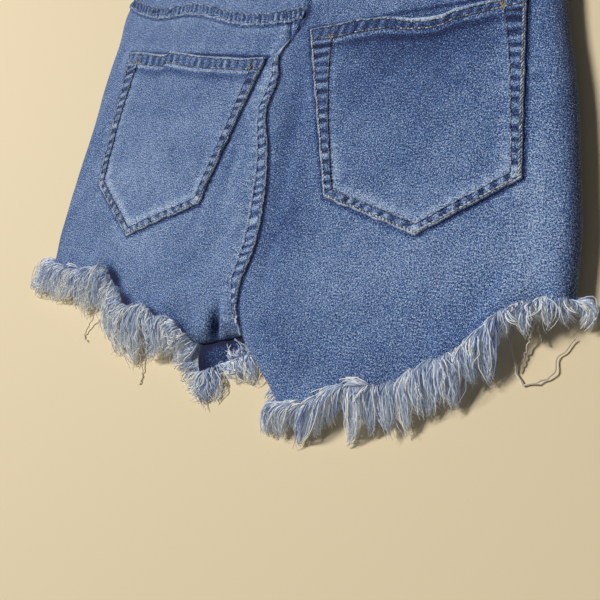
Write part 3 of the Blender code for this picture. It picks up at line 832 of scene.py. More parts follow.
def stitchPiece(name, runs, material=None, radius=0.00036, seed=1, stout=()):
    # the first runs may be stouter and paler: stout holds (times the radius, added tone) for each
    lines = np.concatenate(runs)
    draw = np.random.default_rng(seed)
    extra = np.array([*stout, *[(1.0, 0.0)] * (len(runs) - len(stout))])
    size, shift = np.repeat(extra, [len(run) for run in runs], axis=0).T
    radii = radius * np.array([0.55, 0.95, 1.0, 0.95, 0.55]) * size[:, None]
    points, faces = tubeArrays(lines, radii, 5, 0.8)
    tone = np.repeat(np.clip(draw.normal(0.42, 0.26, len(lines)) + shift, 0, 1), 25)
    return makePiece(name, points, faces, material or seamThread, dict(tone=tone))


# Panels: grids between their seams, the side fold and the cut hem
def acrossShares(columns):  # shares across a panel, close together at both edges
    t = np.linspace(0, 1, columns + 1)
    return t - 0.115 * np.sin(2 * math.pi * t)


def cutY(surface, x):
    return hem(x, "y") + (hem(x, "front") if surface is frontSurface else 0)


def ragged(x):  # how far the cut wanders, with four tabs on the left
    tabs = sum(deep * hump(x + at, garment["tabWidth"]) for at, deep in garment["tabs"])
    return 0.0008 * waves(x, 0.009, 31) + 0.0005 * waves(x, 0.0035, 32) - tabs


def sideEnd(sign, edgeY):  # where an edge that runs across the cloth meets the side seam
    y = 0.0
    for _ in range(6):
        y = float(edgeY(sign * sideS(sign, y)))
    return y


def hemEdge(surface, sign, legEnd, columns):
    sideY = sideEnd(sign, lambda x: cutY(surface, x))
    start = legEnd[0] + sign * garment["gap"] / 2
    s = mix(start, sign * (sideS(sign, sideY) - garment["gap"] / 2), acrossShares(columns))
    return s, cutY(surface, s)


def patch(inner, outer, top, bottom, u, v):
    # a grid between four edges: the two straight blends less the blend of the corners
    u, v = u[None, :], v[:, None]
    made = []
    for k in range(2):
        across = (1 - u) * inner[k][:, None] + u * outer[k][:, None]
        down = (1 - v) * top[k][None, :] + v * bottom[k][None, :]
        corners = (
            (1 - u) * (1 - v) * top[k][0]
            + u * (1 - v) * top[k][-1]
            + (1 - u) * v * bottom[k][0]
            + u * v * bottom[k][-1]
        )
        made.append(across + down - corners)
    return made


def panelGrid(surface, sign, topY, legEnd, columns, seamRows, legRows):
    crotch, gap = garment["crotch"], garment["gap"]

    def centre(y):
        return centreBackX(y) if surface is backSurface else 0 * y + crotch[0]

    bottom = hemEdge(surface, sign, legEnd, columns)
    t = np.linspace(0, 1, seamRows + 1)
    seamY = mix(float(topY(centre(0.02))) - gap / 2, crotch[1], t)
    seamS = centre(seamY) + sign * gap / 2
    leg = np.linspace(0, 1, legRows + 1)[1:]
    inner = (
        np.r_[seamS, mix(seamS[-1], bottom[0][0], leg)],
        np.r_[seamY, mix(seamY[-1], bottom[1][0], leg)],
    )
    run = np.r_[0, np.cumsum(np.hypot(np.diff(inner[0]), np.diff(inner[1])))]
    v = run / run[-1]
    outerY = mix(sideEnd(sign, topY) - gap / 2, bottom[1][-1], v)
    outer = (sign * (sideS(sign, outerY) - gap / 2), outerY)
    u = acrossShares(columns)
    topS = mix(inner[0][0], outer[0][0], u)
    top = (topS, topY(topS) - gap / 2)
    s, y = patch(inner, outer, top, bottom, u, v)
    return s, y + ragged(s) * ease(1 - (y - bottom[1]) / 0.006) * ease(u * 12) * ease((1 - u) * 12)


fadesAndShadows = dict(
    patches=0.05,  # of the broad and the fine mottling
    sideFold=0.30,  # darker towards the side fold, paler on its edge
    seamShadow=1.3,  # painted shadow beside the centre seam's thick edge
    # painted shadows below the yoke band's thick edge and just outside the pockets' edges
    yokeShadow=0.8,
    pocketShadow=0.9,
    hemShade=0.16,
    hemPale=(0.30, 0.25),  # of the frayed cut, back and front
)


def backWearAndShadows(s, y):
    # listed fades, pale hem, and painted shadows beside the seams' and the pockets' raised edges
    x, turn = roundSide(s, y)
    patches, fold = fadesAndShadows["patches"], fadesAndShadows["sideFold"]
    wear = marks(x, y, backMarksAndShadows) + patches * mottle(x, y, 0.045, 41)
    wear = wear + patches * mottle(x, y, 0.013, 42)
    wear = wear + 0.03 * waves(x, 0.010, 43) * ease((y + 0.20) / 0.10)
    wear = wear - fold * ease(turn / 1.2) + fold * ease((turn - 1.35) / 0.2)
    fromSeam = x - centreBackX(y)
    # painted shadow just right of the centre seam's thick edge
    wear = wear - fadesAndShadows["seamShadow"] * hump(fromSeam - 0.0058, 0.0012) * (y < 0.02)
    puckers = 0.16 + 0.22 * ladder(y, fellCentre["pitch"], 61)
    wear = wear + puckers * hump(fromSeam + 0.0080, 0.0035) * (y < 0.02)
    fromYoke = y - yokeY(x)
    # painted shadow just below the yoke band's thick edge
    wear = wear - fadesAndShadows["yokeShadow"] * hump(fromYoke + 0.0026, 0.0011)
    wear = wear + (0.14 + 0.14 * ladder(x, fellYoke["pitch"], 65)) * hump(fromYoke + 0.005, 0.003)
    for number, pocket in enumerate((pocketLeft, pocketRight)):
        inside, run = polygonDistance(x, y, cornersOf(pocket))
        # painted shadow just outside each pocket's edge, deeper on the pocket's right side
        shadowDepth = fadesAndShadows["pocketShadow"] + 0.4 * ease((x - cornersOf(pocket)[3][0]) / 0.02)
        wear = wear - shadowDepth * hump(inside + 0.0011, 0.0011)
        wear = wear + (0.06 + 0.10 * waves(run, 0.008, 46 + number)) * hump(inside + 0.006, 0.004)
    inward = y - cutY(backSurface, x)
    wear = wear - fadesAndShadows["hemShade"] * ease(1 - inward / 0.012)
    return wear + (fadesAndShadows["hemPale"][0] + 0.3 * waves(x, 0.003, 48)) * ease(1 - inward / 0.002)


def frontWornness(s, y):
    x, turn = roundSide(s, y)
    patches, fold = fadesAndShadows["patches"], fadesAndShadows["sideFold"]
    wear = marks(x, y, frontWear) + patches * mottle(x, y, 0.045, 51)
    wear = wear + patches * mottle(x, y, 0.013, 52)
    wear = wear - fold * ease(turn / 1.2) + fold * ease((turn - 1.35) / 0.2)
    inward = y - cutY(frontSurface, x)
    return wear + (fadesAndShadows["hemPale"][1] + 0.2 * waves(x, 0.004, 53)) * ease(1 - inward / 0.005)


def wearAndShadowsOf(surface, s, y):
    return (backWearAndShadows if surface is backSurface else frontWornness)(s, y)


def clothPiece(name, surface, s, y, low, high, wear=None, replaced=(), **more):
    wear = wearAndShadowsOf(surface, s, y) if wear is None else wear
    outer, inner = raised(surface, s, y, high), raised(surface, s, y, low)
    return shellPiece(name, outer, inner, wear, np.stack([s, y], -1), replaced=replaced, **more)


panelDetail = dict(
    back=(144, 158, 20),  # columns, rows beside the seam, rows beside the inner leg
    front=(76, 84, 14),
    yoke=(140, 56),
)
halfDenim = garment["denim"] / 2


def makePanels():
    legs = {-1: garment["leftLegEdge"], 1: garment["rightLegEdge"]}
    frontLegs = {-1: garment["leftLegFold"], 1: garment["rightLegEdge"]}
    for sign, side in ((-1, "left"), (1, "right")):
        s, y = panelGrid(backSurface, sign, yokeY, legs[sign], *panelDetail["back"])
        name = "back" + side.capitalize()
        clothPiece(
            name, backSurface, s, y, -halfDenim, halfDenim, replaced=[f"back_{side}"]
        )
        s, y = panelGrid(
            frontSurface, sign, lambda x: waistY(x, waist["frontDip"]), frontLegs[sign],
            *panelDetail["front"],
        )
        name = "front" + side.capitalize()
        clothPiece(
            name, frontSurface, s, y, -halfDenim, halfDenim, replaced=[f"front_{side}"]
        )
    print("panels made")


def makeYokes():
    columns, rows = panelDetail["yoke"]
    u, v = acrossShares(columns), np.linspace(0, 1, rows)
    gap = garment["gap"]
    for sign, side in ((-1, "left"), (1, "right")):
        lowEnd = sideEnd(sign, yokeY)
        highEnd = sideEnd(sign, lambda x: waistY(x, waist["backDip"]))
        middle = float(centreBackX(0.02)) + sign * gap / 2
        lowS = mix(middle, sign * (sideS(sign, lowEnd) - gap / 2), u)
        highS = mix(middle, sign * (sideS(sign, highEnd) - gap / 2), u)
        top = (highS, waistY(highS, waist["backDip"]) - gap / 2)
        bottom = (lowS, yokeY(lowS) + gap / 2)
        inner = (np.full(len(v), middle), mix(top[1][0], bottom[1][0], v))
        outerY = mix(top[1][-1], bottom[1][-1], v)
        outer = (sign * (sideS(sign, outerY) - gap / 2), outerY)
        s, y = patch(inner, outer, top, bottom, u, v)
        name = "yoke" + side.capitalize()
        clothPiece(
            name, backSurface, s, y, -halfDenim, halfDenim, replaced=[f"yoke_{side}"]
        )
    print("yokes made")


# Felled seams: a folded band on the panels, thick at one edge, between two rows of stitches
fellCentre = dict(
    width=0.0125,
    thick=0.0015,
    thin=0.0004,
    edgeRoll=0.0011,
    rows=(0.0017, 0.0105),  # stitch rows, from the thick edge
    pucker=0.00035,
    pitch=0.0078,  # of the ladder of pale and dark patches
    rim=1.15,  # how worn the thick edge is
    farRim=0.45,  # and the thin one
    shade=-0.06,  # between the rows
    seed=61,
)
fellYoke = dict(
    fellCentre, width=0.0126, rows=(0.0020, 0.0108), pitch=0.0044,
    rim=0.60, farRim=0.15, shade=-0.24, seed=65,
)
fellDetail = dict(
    steps=230,  # points along a band
    across=19,
    top=0.0035,  # where the centre band starts
    thickEdge=0.0046,  # the centre band's thick edge, right of the seam
    starts=(0.0088, 0.0105),  # where the left and right yoke bands start
    overlap=0.0015,  # how far a yoke band laps below its seam
)


def fellLadder(band, fromEdge, run):
    return ladder(run + 0.3 * fromEdge, band["pitch"], band["seed"])


def fellProfile(band, fromEdge, width, run):
    # thickness: thin at the far edge, thick at the near one, rolled off over the last millimetre,
    # pressed down at the stitches and puckered between them
    share = np.clip(fromEdge / width, 0, 1)
    thick = mix(band["thick"], band["thin"], ease(share * 1.15 - 0.1))
    roll = np.clip(fromEdge / band["edgeRoll"], 0, 1)
    thick = thick * np.sqrt(1 - 0.85 * (1 - roll) ** 2)
    for row in band["rows"]:
        thick = thick - 0.00018 * hump(fromEdge - row, 0.0006)
    between = ease(fromEdge / 0.002) * ease((width - fromEdge) / 0.0015)
    rope = fellLadder(band, fromEdge, run)
    return np.maximum(thick + band["pucker"] * rope * between, 0.00025)


def fellWear(band, fromEdge, width, run):
    # worn edges, a ladder of pale and dark patches between the rows, a dark line at each
    near, far = band["rows"][0], width * band["rows"][1] / band["width"]
    uneven = 1 + 0.2 * waves(run, 0.012, band["seed"] + 1)
    wear = band["rim"] * hump(fromEdge - 0.0005, 0.0009) * uneven
    between = ease((fromEdge - near) / 0.001) * ease((far - fromEdge) / 0.001)
    wear = wear + (0.70 * fellLadder(band, fromEdge, run) + band["shade"]) * between
    wear = wear - 0.55 * hump(fromEdge - near, 0.0006) - 0.40 * hump(fromEdge - far, 0.0007)
    return wear + band["farRim"] * hump(fromEdge - width, 0.0010)


def rowHeight(band, row):  # height of a row of stitches over the band's base
    return mix(band["thick"], band["thin"], row / band["width"]) - 0.0001


def makeCentreSeam(low):
    # the thick edge on the right, narrow at the crotch and pinched at its top; returns its stitches
    look, band = fellDetail, fellCentre
    y = mix(look["top"], garment["crotch"][1] - 0.0005, np.linspace(0, 1, look["steps"]))[:, None]
    t = np.linspace(0, 1, look["across"])[None, :]
    width = band["width"] * smoothCurve(y, seamWidths["y"], seamWidths["share"])
    fromEdge = width * t
    s = centreBackX(y) + look["thickEdge"] - fromEdge + 0.0003 * waves(y, 0.012, 60)
    y = y + 0 * t
    high = low + fellProfile(band, fromEdge, width, y)
    wear = fellWear(band, fromEdge, width, y) + 0.5 * backWearAndShadows(s, y)
    wear = wear + 1.1 * ease((y + 0.014) / 0.012)
    clothPiece(
        "seamCentreBack", backSurface, s, y, low, high, wear, replaced=["seam_centre_back"]
    )
    wide = width[:, 0] > 0.4 * band["width"]
    rows = []
    for row in band["rows"]:
        place = s[wide, 0] - row * width[wide, 0] / band["width"]
        rows.append(stitchLines(backSurface, place, y[wide, 0], low + rowHeight(band, row)))
    return rows


def makeYokeSeams(low):
    # the thick edge below; the left one ends rounded over the right one's cloth
    look, band, rows = fellDetail, fellYoke, []
    t = np.linspace(0, 1, look["across"])[:, None]
    for sign, side, start in zip((-1, 1), ("left", "right"), look["starts"]):
        end = sign * (sideS(sign, sideEnd(sign, lambda x: yokeY(x) + band["width"])) - 0.0005)
        s = mix(start, end, acrossShares(look["steps"]))[None, :]
        fromEdge = band["width"] * t
        edgeY = yokeY(np.minimum(s, waist["stepStart"]) if sign < 0 else s) - look["overlap"]
        edgeY = edgeY + 0.0005 * waves(s, 0.013, 64) + 0 * fromEdge
        rounded = np.sqrt(1 - (1 - np.clip(np.abs(s - start) / 0.005, 0, 1)) ** 2)
        spread = mix(0.35, 1, rounded) if sign < 0 else 1
        y = edgeY + band["width"] / 2 + (fromEdge - band["width"] / 2) * spread
        s = s + 0 * fromEdge
        high = low + fellProfile(band, fromEdge, band["width"], s)
        wear = fellWear(band, fromEdge, band["width"], s) + 0.5 * backWearAndShadows(s, y)
        name = "seamYoke" + side.capitalize()
        clothPiece(
            name, backSurface, s, y, low, high, wear, replaced=[f"seam_yoke_{side}"]
        )
        for row in band["rows"]:
            height = low + rowHeight(band, row)
            rows.append(stitchLines(backSurface, s[0, 4:], edgeY[0, 4:] + row, height))
    return rows


def makeSeams():
    low = halfDenim + 0.00008
    rows = makeCentreSeam(low) + makeYokeSeams(low)
    stitchPiece("stitchesSeams", rows, seed=2, stout=[(1.3, 0.15)] * 6)
    print("seams made")


# Pockets: a patch with its edges folded under and a wider hem at its top
pocketLook = dict(
    single=0.0010,
    double=0.0019,
    hem=0.0022,
    border=0.0060,  # of the turned sides at the foot
    flareDepth=0.048,
    edgeRoll=0.0012,
    outerRow=0.0017,
    headRow=0.0026,
    pucker=0.00032,
    ropePitch=0.0083,
    settle=0.055,  # how far down the head's waves reach
    grid=(144, 136),
    dip=0.00026,  # how deep the stitches press
    dipWidth=0.0006,
    step=0.001,  # how soft the borders' edges are
    stout=((1.65, 0.32), (1.2, 0.0), (1.4, 0.1), (1.4, 0.1)),  # outer, inner and the head's rows
)
# The head's edge at shares from centre back out: how far it rises, the depth of its hem, its wear
headRight = table(
    "share rise depth worn",
    [
        (0.00, 0.0000, 0.0115, 0.6),
        (0.15, 0.0000, 0.0130, 0.5),
        (0.25, 0.0012, 0.0125, 0.6),
        (0.40, -0.0010, 0.0105, 0.9),
        (0.52, -0.0060, 0.0100, 1.6),
        (0.60, -0.0075, 0.0104, 1.9),
        (0.66, -0.0068, 0.0104, 1.6),
        (0.71, -0.0038, 0.0094, 1.3),
        (0.80, -0.0022, 0.0092, 1.1),
        (0.90, -0.0010, 0.0088, 0.8),
        (1.00, 0.0000, 0.0080, 0.6),
    ],
)
headLeft = table(
    "share rise depth worn",
    [
        (0.00, 0.0000, 0.0115, 0.6),
        (0.16, -0.0019, 0.0112, 0.8),
        (0.44, -0.0005, 0.0125, 0.7),
        (0.62, 0.0022, 0.0118, 0.7),
        (0.672, 0.0030, 0.0118, 0.9),
        (0.690, -0.0004, 0.0124, 1.0),
        (0.72, -0.0008, 0.0128, 1.0),
        (0.78, -0.0008, 0.0125, 0.8),
        (0.88, 0.0008, 0.0125, 0.6),
        (1.00, 0.0000, 0.0113, 0.6),
    ],
)


def pocketGrid(corners, columns, rows):
    # straight head, straight sides, and a foot of two straight edges; lines crowd at the borders
    topIn, topOut, lowOut, tip, lowIn = corners
    t = np.linspace(0, 1, columns + 1)
    t = (t - 0.11 * np.sin(2 * math.pi * t))[:, None]
    foot = np.where(t < 0.5, mix(lowIn, tip, 2 * t), mix(tip, lowOut, 2 * t - 1))
    head = mix(topIn, topOut, t)
    down = np.linspace(0, 1, rows + 1)
    down = (down - 0.11 * np.sin(2 * math.pi * down))[:, None, None]
    grid = mix(head[None], foot[None], down)
    return grid[..., 0], grid[..., 1]


def headFrame(corners, x, y):
    # (share along the head's straight line, depth below it)
    run = corners[1] - corners[0]
    length = np.hypot(*run)
    share = ((x - corners[0][0]) * run[0] + (y - corners[0][1]) * run[1]) / length**2
    below = ((x - corners[0][0]) * run[1] - (y - corners[0][1]) * run[0]) / length
    return share, below * np.sign(run[0])


def settled(corners, head, x, y):
    # places on the flat pattern moved to where the waved head leaves them
    share, below = headFrame(corners, x, y)
    rise = np.interp(share, head["share"], head["rise"])
    return x, y + rise * ease(1 - below / pocketLook["settle"])


def borderWidth(share, below, flare):  # border + flare * exp(-depth / flareDepth), flare by side
    fall = np.exp(-np.maximum(below, 0) / pocketLook["flareDepth"])
    return pocketLook["border"] + np.where(share < 0.5, *flare) * fall


def insetOutline(corners, depth):
    # the outline moved in by depth: each corner slides along its bisector
    before, after = np.roll(corners, 1, axis=0), np.roll(corners, -1, axis=0)
    a = (corners - before) / np.linalg.norm(corners - before, axis=-1, keepdims=True)
    b = (after - corners) / np.linalg.norm(after - corners, axis=-1, keepdims=True)
    turning = np.sign(np.cross(a[0], b[0]))
    normal = turning * np.stack([-a[:, 1] - b[:, 1], a[:, 0] + b[:, 0]], -1)
    square = 1 + (a * b).sum(-1, keepdims=True)
    return corners + normal * depth / square


def densePath(points, step=0.001):
    # points joined by straight runs, sampled about every step
    made = []
    for a, b in zip(points[:-1], points[1:]):
        count = max(2, int(np.linalg.norm(b - a) / step))
        made.append(mix(a, b, np.linspace(0, 1, count, endpoint=False)[:, None]))
    return np.concatenate([*made, points[-1:]])


def sideRow(corners, top, low, innerLow, flare):
    # the inner stitch row of one side, from the head down: the edge moved in by the border's width
    t = np.linspace(0, 1, 150)[:, None]
    edge = mix(top, low, t)
    run = (low - top) / np.linalg.norm(low - top)
    inward = np.array([-run[1], run[0]])
    inward = inward * np.sign((innerLow - low) @ inward)
    share, below = headFrame(corners, edge[:, 0], edge[:, 1])
    path = edge + inward * borderWidth(share, below, flare)[:, None]
    path = path[: np.argmin(np.linalg.norm(path - innerLow, axis=-1))]
    return path[headFrame(corners, path[:, 0], path[:, 1])[1] > 0.0022]


def headRow(share, head):  # depth of the head's upper stitches, lower where its edge is worn
    return pocketLook["headRow"] + 0.0012 * (np.interp(share, head["share"], head["worn"]) - 0.6)


def pocketForm(corners, head, flare, x, y, seed):
    # (thickness, wear and painted shade, sideways wander of the edge) at places on the flat pattern:
    # borders and hem folded, pressed down at the stitches and puckered between them, pale where they
    # rub, with a painted shadow below the hem
    look = pocketLook
    inside = polygonDistance(x, y, corners)[0]
    share, below = headFrame(corners, x, y)
    border, depth = borderWidth(share, below, flare), np.interp(share, head["share"], head["depth"])
    worn = np.interp(share, head["share"], head["worn"])
    # distance in from the sides and the foot alone: the head's own edge left out
    beyond = corners.copy()
    beyond[0] += corners[0] - corners[4]
    beyond[1] += corners[1] - corners[2]
    fromSide, sideRun = polygonDistance(x, y, beyond)
    rope = ladder(sideRun + 0.25 * fromSide, look["ropePitch"], seed)
    ropeHead = ladder(share * 0.16 + 0.2 * below, look["ropePitch"] * 0.9, seed + 8)
    thick = mix(look["single"], look["double"], ease((border + 0.0015 - fromSide) / 0.002))
    inHem = ease((depth + 0.0022 - below) / 0.0012)
    thick = np.maximum(thick, mix(look["single"], look["hem"], inHem))
    narrow, step = look["dipWidth"], look["step"]
    dips = hump(fromSide - look["outerRow"], narrow) + 0.8 * hump(fromSide - border, narrow)
    upper = headRow(share, head)
    dipsHead = hump(below - upper, narrow) + hump(below - depth, narrow)
    dips = np.minimum(dips + dipsHead, 1.2)
    between = ease((fromSide - look["outerRow"]) / step) * ease((border - fromSide) / step)
    betweenHead = ease((below - upper) / step) * ease((depth - below) / step)
    pucker = np.maximum(between * (1 - inHem), 0) * rope + betweenHead * ropeHead
    thick = thick - look["dip"] * dips + look["pucker"] * pucker
    thick = thick + 0.00016 * rope * hump(fromSide - border - 0.003, 0.004) * (1 - inHem)
    roll = np.clip(inside / look["edgeRoll"], 0, 1)
    thick = thick * np.sqrt(1 - 0.85 * (1 - roll) ** 2)
    thick = thick + 0.00012 * mottle(x, y, 0.02, seed + 2) * ease(inside / 0.01)
    wear = marks(x, y, backMarksAndShadows) + fadesAndShadows["patches"] * mottle(x, y, 0.040, seed + 3)
    wear = wear + fadesAndShadows["patches"] * mottle(x, y, 0.013, seed + 4)
    rim = 0.85 * hump(fromSide - 0.0006, 0.0010) * (1 + 0.25 * waves(sideRun, 0.010, seed + 5))
    rim = rim * (0.9 + 0.3 * waves(sideRun, 0.0024, seed + 9))
    frayed = worn * (0.85 + 0.22 * waves(share * 0.16, 0.0045, seed + 10))
    wear = wear + rim + frayed * hump(below - 0.0010, 0.0006 + 0.0011 * worn)
    wear = wear + (0.74 * rope - 0.20) * between * (1 - inHem)
    wear = wear + (0.52 * ropeHead - 0.26) * betweenHead * (1 - 0.6 * between)
    wear = wear - 0.45 * np.clip(dips, 0, 1)
    fade = hump(fromSide - border - 0.0035, 0.0035) * (1 - inHem)
    wear = wear + (0.16 + 0.16 * rope) * np.where(fromSide > border, fade, 0)
    wear = wear + 0.70 * hump(below - depth - 0.0018, 0.0012)
    wear = wear + 0.30 * np.where(fromSide > border, fade, 0) * ease((below - 0.09) / 0.03)
    # painted shadow below the hem's lower edge, fading downwards
    wear = wear - 0.50 * hump(below - depth - 0.0060, 0.0038) * ease(fromSide / 0.004)
    corner = np.linalg.norm(np.stack([x, y], -1)[..., None, :] - corners[2:], axis=-1).min(-1)
    wear = wear + 0.45 * hump(corner - 0.004, 0.004)
    wander = 0.0005 * waves(sideRun, 0.021, seed + 1) * ease(1 - inside / 0.012)
    return thick, wear, wander


def makePocket(side, pocket, head, flare, seed):
    corners, low = cornersOf(pocket), halfDenim + 0.0001
    x, y = pocketGrid(corners, *pocketLook["grid"])
    thick, wear, wander = pocketForm(corners, head, flare, x, y, seed)
    x, y = settled(corners, head, x + wander * np.sign(corners[3][0] - x) * 0.5, y + wander * 0.7)
    name = "pocket" + side.capitalize()
    clothPiece(
        name, backSurface, x, y, low, low + thick, wear, replaced=[f"pocket_{side}"]
    )
    stitchPocket("Pocket" + side.capitalize(), corners, head, flare, low - 0.00006, seed)


def stitchPocket(title, corners, head, flare, low, seed):
    # the outer row, the inner row, two rows on the hem, and a bartack at each of its ends
    look = pocketLook
    heightSide, heightHead = low + look["double"], low + look["hem"]
    outer = insetOutline(corners, look["outerRow"])
    outer[0] += (corners[0] - corners[4]) * 0.004
    inner = insetOutline(corners, float(borderWidth(0.0, 0.15, flare)))
    left = sideRow(corners, corners[0], corners[4], inner[4], flare)
    right = sideRow(corners, corners[1], corners[2], inner[2], flare)
    foot = densePath(inner[[4, 3, 2]])
    paths = [
        (densePath(outer[[0, 4, 3, 2, 1]]), heightSide),
        (np.concatenate([left, foot, right[::-1]]), heightSide),
    ]
    across = densePath(outer[[0, 1]])
    down = (corners[4] - corners[0]) / np.linalg.norm(corners[4] - corners[0])
    acrossShare = headFrame(corners, across[:, 0], across[:, 1])[0]
    hemDepth = np.interp(acrossShare, head["share"], head["depth"])
    for rowDepth in (headRow(acrossShare, head), hemDepth):
        paths.append((across + down * (rowDepth - look["outerRow"])[:, None], heightHead))
    runs = []
    for path, height in paths:
        s, along = settled(corners, head, path[:, 0], path[:, 1])
        lean = 0.0002 if runs else 0.0005
        runs.append(stitchLines(backSurface, s, along, height, lean=lean))
    stitchPiece(
        "stitches" + title, runs, seed=seed + 6, stout=look["stout"]
    )
    tacks = []  # two legs each, where the inner row crosses the hem's lower row
    for row in (left, right):
        share, below = headFrame(corners, row[:, 0], row[:, 1])
        cross = row[np.argmin(np.abs(below - np.interp(share, head["share"], head["depth"])))]
        for sway in (-0.0016, 0.0016):
            ends = np.array([cross + down * 0.0012, cross + [sway, 0] - down * 0.0050])
            path = densePath(ends, 0.0004)
            s, along = settled(corners, head, path[:, 0], path[:, 1])
            tacks.append(bartack(backSurface, s, along, heightHead + 0.0001, 0.0007))
    stitchPiece(
        "bartacks" + title, tacks, tackThread, 0.00026, seed + 7
    )


def bartack(surface, s, y, height, halfWidth):
    # close threads laid across a short line, each leaning a little
    place = raised(surface, s, y, height)
    up = outward(surface, s, y)
    run = np.gradient(place, axis=0)
    across = np.cross(run, up)
    across /= np.linalg.norm(across, axis=-1, keepdims=True)
    t = np.linspace(-1, 1, 5)
    rise = 0.0003 * (1 - np.abs(t) ** 3) - 0.0001
    lines = place[:, None] + across[:, None] * (halfWidth * t)[:, None]
    return lines + up[:, None] * rise[:, None] + run[:, None] * (0.4 * t)[:, None]


# The waistband, mostly out of sight at the waist
bandLook = dict(rows=(0.0022, 0.0358), edgeRoll=0.0016, gap=0.0003, up=27, overlapEnd=0.018)


def waistRuns(up, frontShares, backShares):
    # one row of the band at a height above the seam: button end, round the back, buttonhole end
    leftEnd, rightEnd = -sideS(-1, waist["sideY"] + up), sideS(1, waist["sideY"] + up)
    return (
        (frontSurface, mix(-waist["underlap"], rightEnd, frontShares), waist["frontDip"], 1),
        (backSurface, mix(rightEnd, leftEnd, backShares), waist["backDip"], 0),
        (frontSurface, mix(leftEnd, 0.002, frontShares), waist["frontDip"], 0),
    )


def makeWaistband():
    frontShares, backShares = acrossShares(90), acrossShares(170)[1:-1]
    gap, t = bandLook["gap"], np.linspace(0, 1, bandLook["up"])
    skins, shades, cloths = [[], []], [], []
    for up in mix(gap / 2, waist["height"], t - 0.1 * np.sin(2 * np.pi * t)):
        rows = [[], []]
        shade, cloth = [], []
        for surface, s, dip, under in waistRuns(up, frontShares, backShares):
            y = waistY(s, dip) + up
            inset = (waist["cloth"] + gap) * ease((0.016 - s) / 0.012) if under else 0 * s
            edge = np.minimum(up, waist["height"] - up)
            roll = np.sqrt(1 - 0.5 * (1 - np.clip(edge / bandLook["edgeRoll"], 0, 1)) ** 2)
            half = waist["cloth"] / 2 * roll
            dips = sum(0.00018 * hump(up - row, 0.0007) for row in bandLook["rows"])
            ripple = 0.0002 * waves(s, 0.012, 70) * ease(up / 0.004)
            rows[0].append(raised(surface, s, y, half - dips + ripple - inset))
            rows[1].append(raised(surface, s, y, -half + ripple - inset))
            rope = waves(s + 0.6 * up, 0.009, 71)
            worn = 0.5 * hump(edge, 0.0009) + 0.18 * rope * hump(edge - 0.001, 0.004)
            shade.append(worn + 0.10 * mottle(s, y, 0.04, 72))
            cloth.append(np.stack([s, y], -1))
        for k in range(2):
            skins[k].append(np.concatenate(rows[k]))
        shades.append(np.concatenate(shade))
        cloths.append(np.concatenate(cloth))
    shellPiece(
        "waistBand", np.stack(skins[0]), np.stack(skins[1]), np.stack(shades), np.stack(cloths),
        replaced=["waistband"],
    )
    runs = []
    for row in bandLook["rows"]:
        for surface, s, dip, under in waistRuns(row, acrossShares(160), acrossShares(300)):
            s = s[s > bandLook["overlapEnd"]] if under else s
            runs.append(stitchLines(surface, s, waistY(s, dip) + row, waist["cloth"] / 2 - 0.0001))
    stitchPiece("stitchesWaistband", runs, seed=73)
    print("waistband made")


loopLook = dict(
    width=0.011,
    tail=0.004,  # below the band, on the back
    inset=0.001,
    stand=0.0012,  # of the loop off the band
    cloth=0.0012,
    back=(-0.115, 0.004, 0.115),
    front=(-0.095, 0.095),
    rows=(-0.0034, 0.0034),
)


def makeLoops():
    low = waist["cloth"] / 2 + 0.0003
    places = [(backSurface, x, waist["backDip"]) for x in loopLook["back"]]
    places += [(frontSurface, x, waist["frontDip"]) for x in loopLook["front"]]
    rows, tacks = [], []
    for number, (surface, x, dip) in enumerate(places, 1):
        onBack = surface is backSurface
        t = np.linspace(0, 1, 40)
        start = float(waistY(x, dip)) - (loopLook["tail"] if onBack else -loopLook["inset"])
        end = float(waistY(x, dip)) + waist["height"]
        along = mix(start, end, t)[:, None]
        stand = (loopLook["stand"] * np.sin(math.pi * t) if onBack else 0 * t)[:, None]
        across = np.linspace(0, 1, 15)[None, :]
        edge = np.minimum(across, 1 - across) * loopLook["width"]
        s = x + (across - 0.5) * loopLook["width"] + 0 * along
        y = along + 0 * across
        roll = np.sqrt(1 - 0.6 * (1 - np.clip(edge / 0.0010, 0, 1)) ** 2)
        top = low + stand + loopLook["cloth"] * roll
        wear = 0.5 * hump(edge, 0.0009) + 0.2 * waves(y + s, 0.007, 80 + number)
        name = f"beltLoop{number}"
        clothPiece(
            name, surface, s, y, low + stand + 0 * s, top, wear + 0 * s,
            replaced=[f"belt_loop_{number}"],
        )
        for offset in loopLook["rows"]:
            height = low + stand[:, 0] + loopLook["cloth"] - 0.00015
            rows.append(stitchLines(surface, np.full(len(t), x + offset), along[:, 0], height))
        for place in (start + 0.0015, end - 0.0018):
            line = np.linspace(x - 0.0045, x + 0.0045, 20)
            height = low + loopLook["cloth"] + 0 * line
            tacks.append(bartack(surface, line, np.full(20, place), height, 0.0010))
    stitchPiece("stitchesLoops", rows, seed=86)
    stitchPiece("bartacksLoops", tacks, tackThread, 0.00026, 87)
    print("belt loops made")


def lathePiece(name, profile, centre, material, replaced, count=64):
    # (radius, height) pairs turned about the vertical; the first and last lie near the axis
    profile = np.array(profile)
    angle = np.arange(count) * 2 * math.pi / count
    ring = np.stack([np.cos(angle), np.sin(angle)], -1)
    points = np.concatenate(
        [
            np.concatenate([centre + ring[None] * profile[:, 0, None, None]], axis=-1),
            np.broadcast_to(profile[:, 1, None, None], (len(profile), count, 1)),
        ],
        axis=-1,
    )
    index = np.arange(len(profile) * count).reshape(len(profile), count)
    turned = np.roll(index, -1, axis=1)
    quads = np.stack([index[:-1], turned[:-1], turned[1:], index[1:]], -1).reshape(-1, 4)
    caps = np.stack([index[0, ::-1], index[-1]])
    return makePiece(name, points.reshape(-1, 3), [quads, caps], material, replaced=replaced)


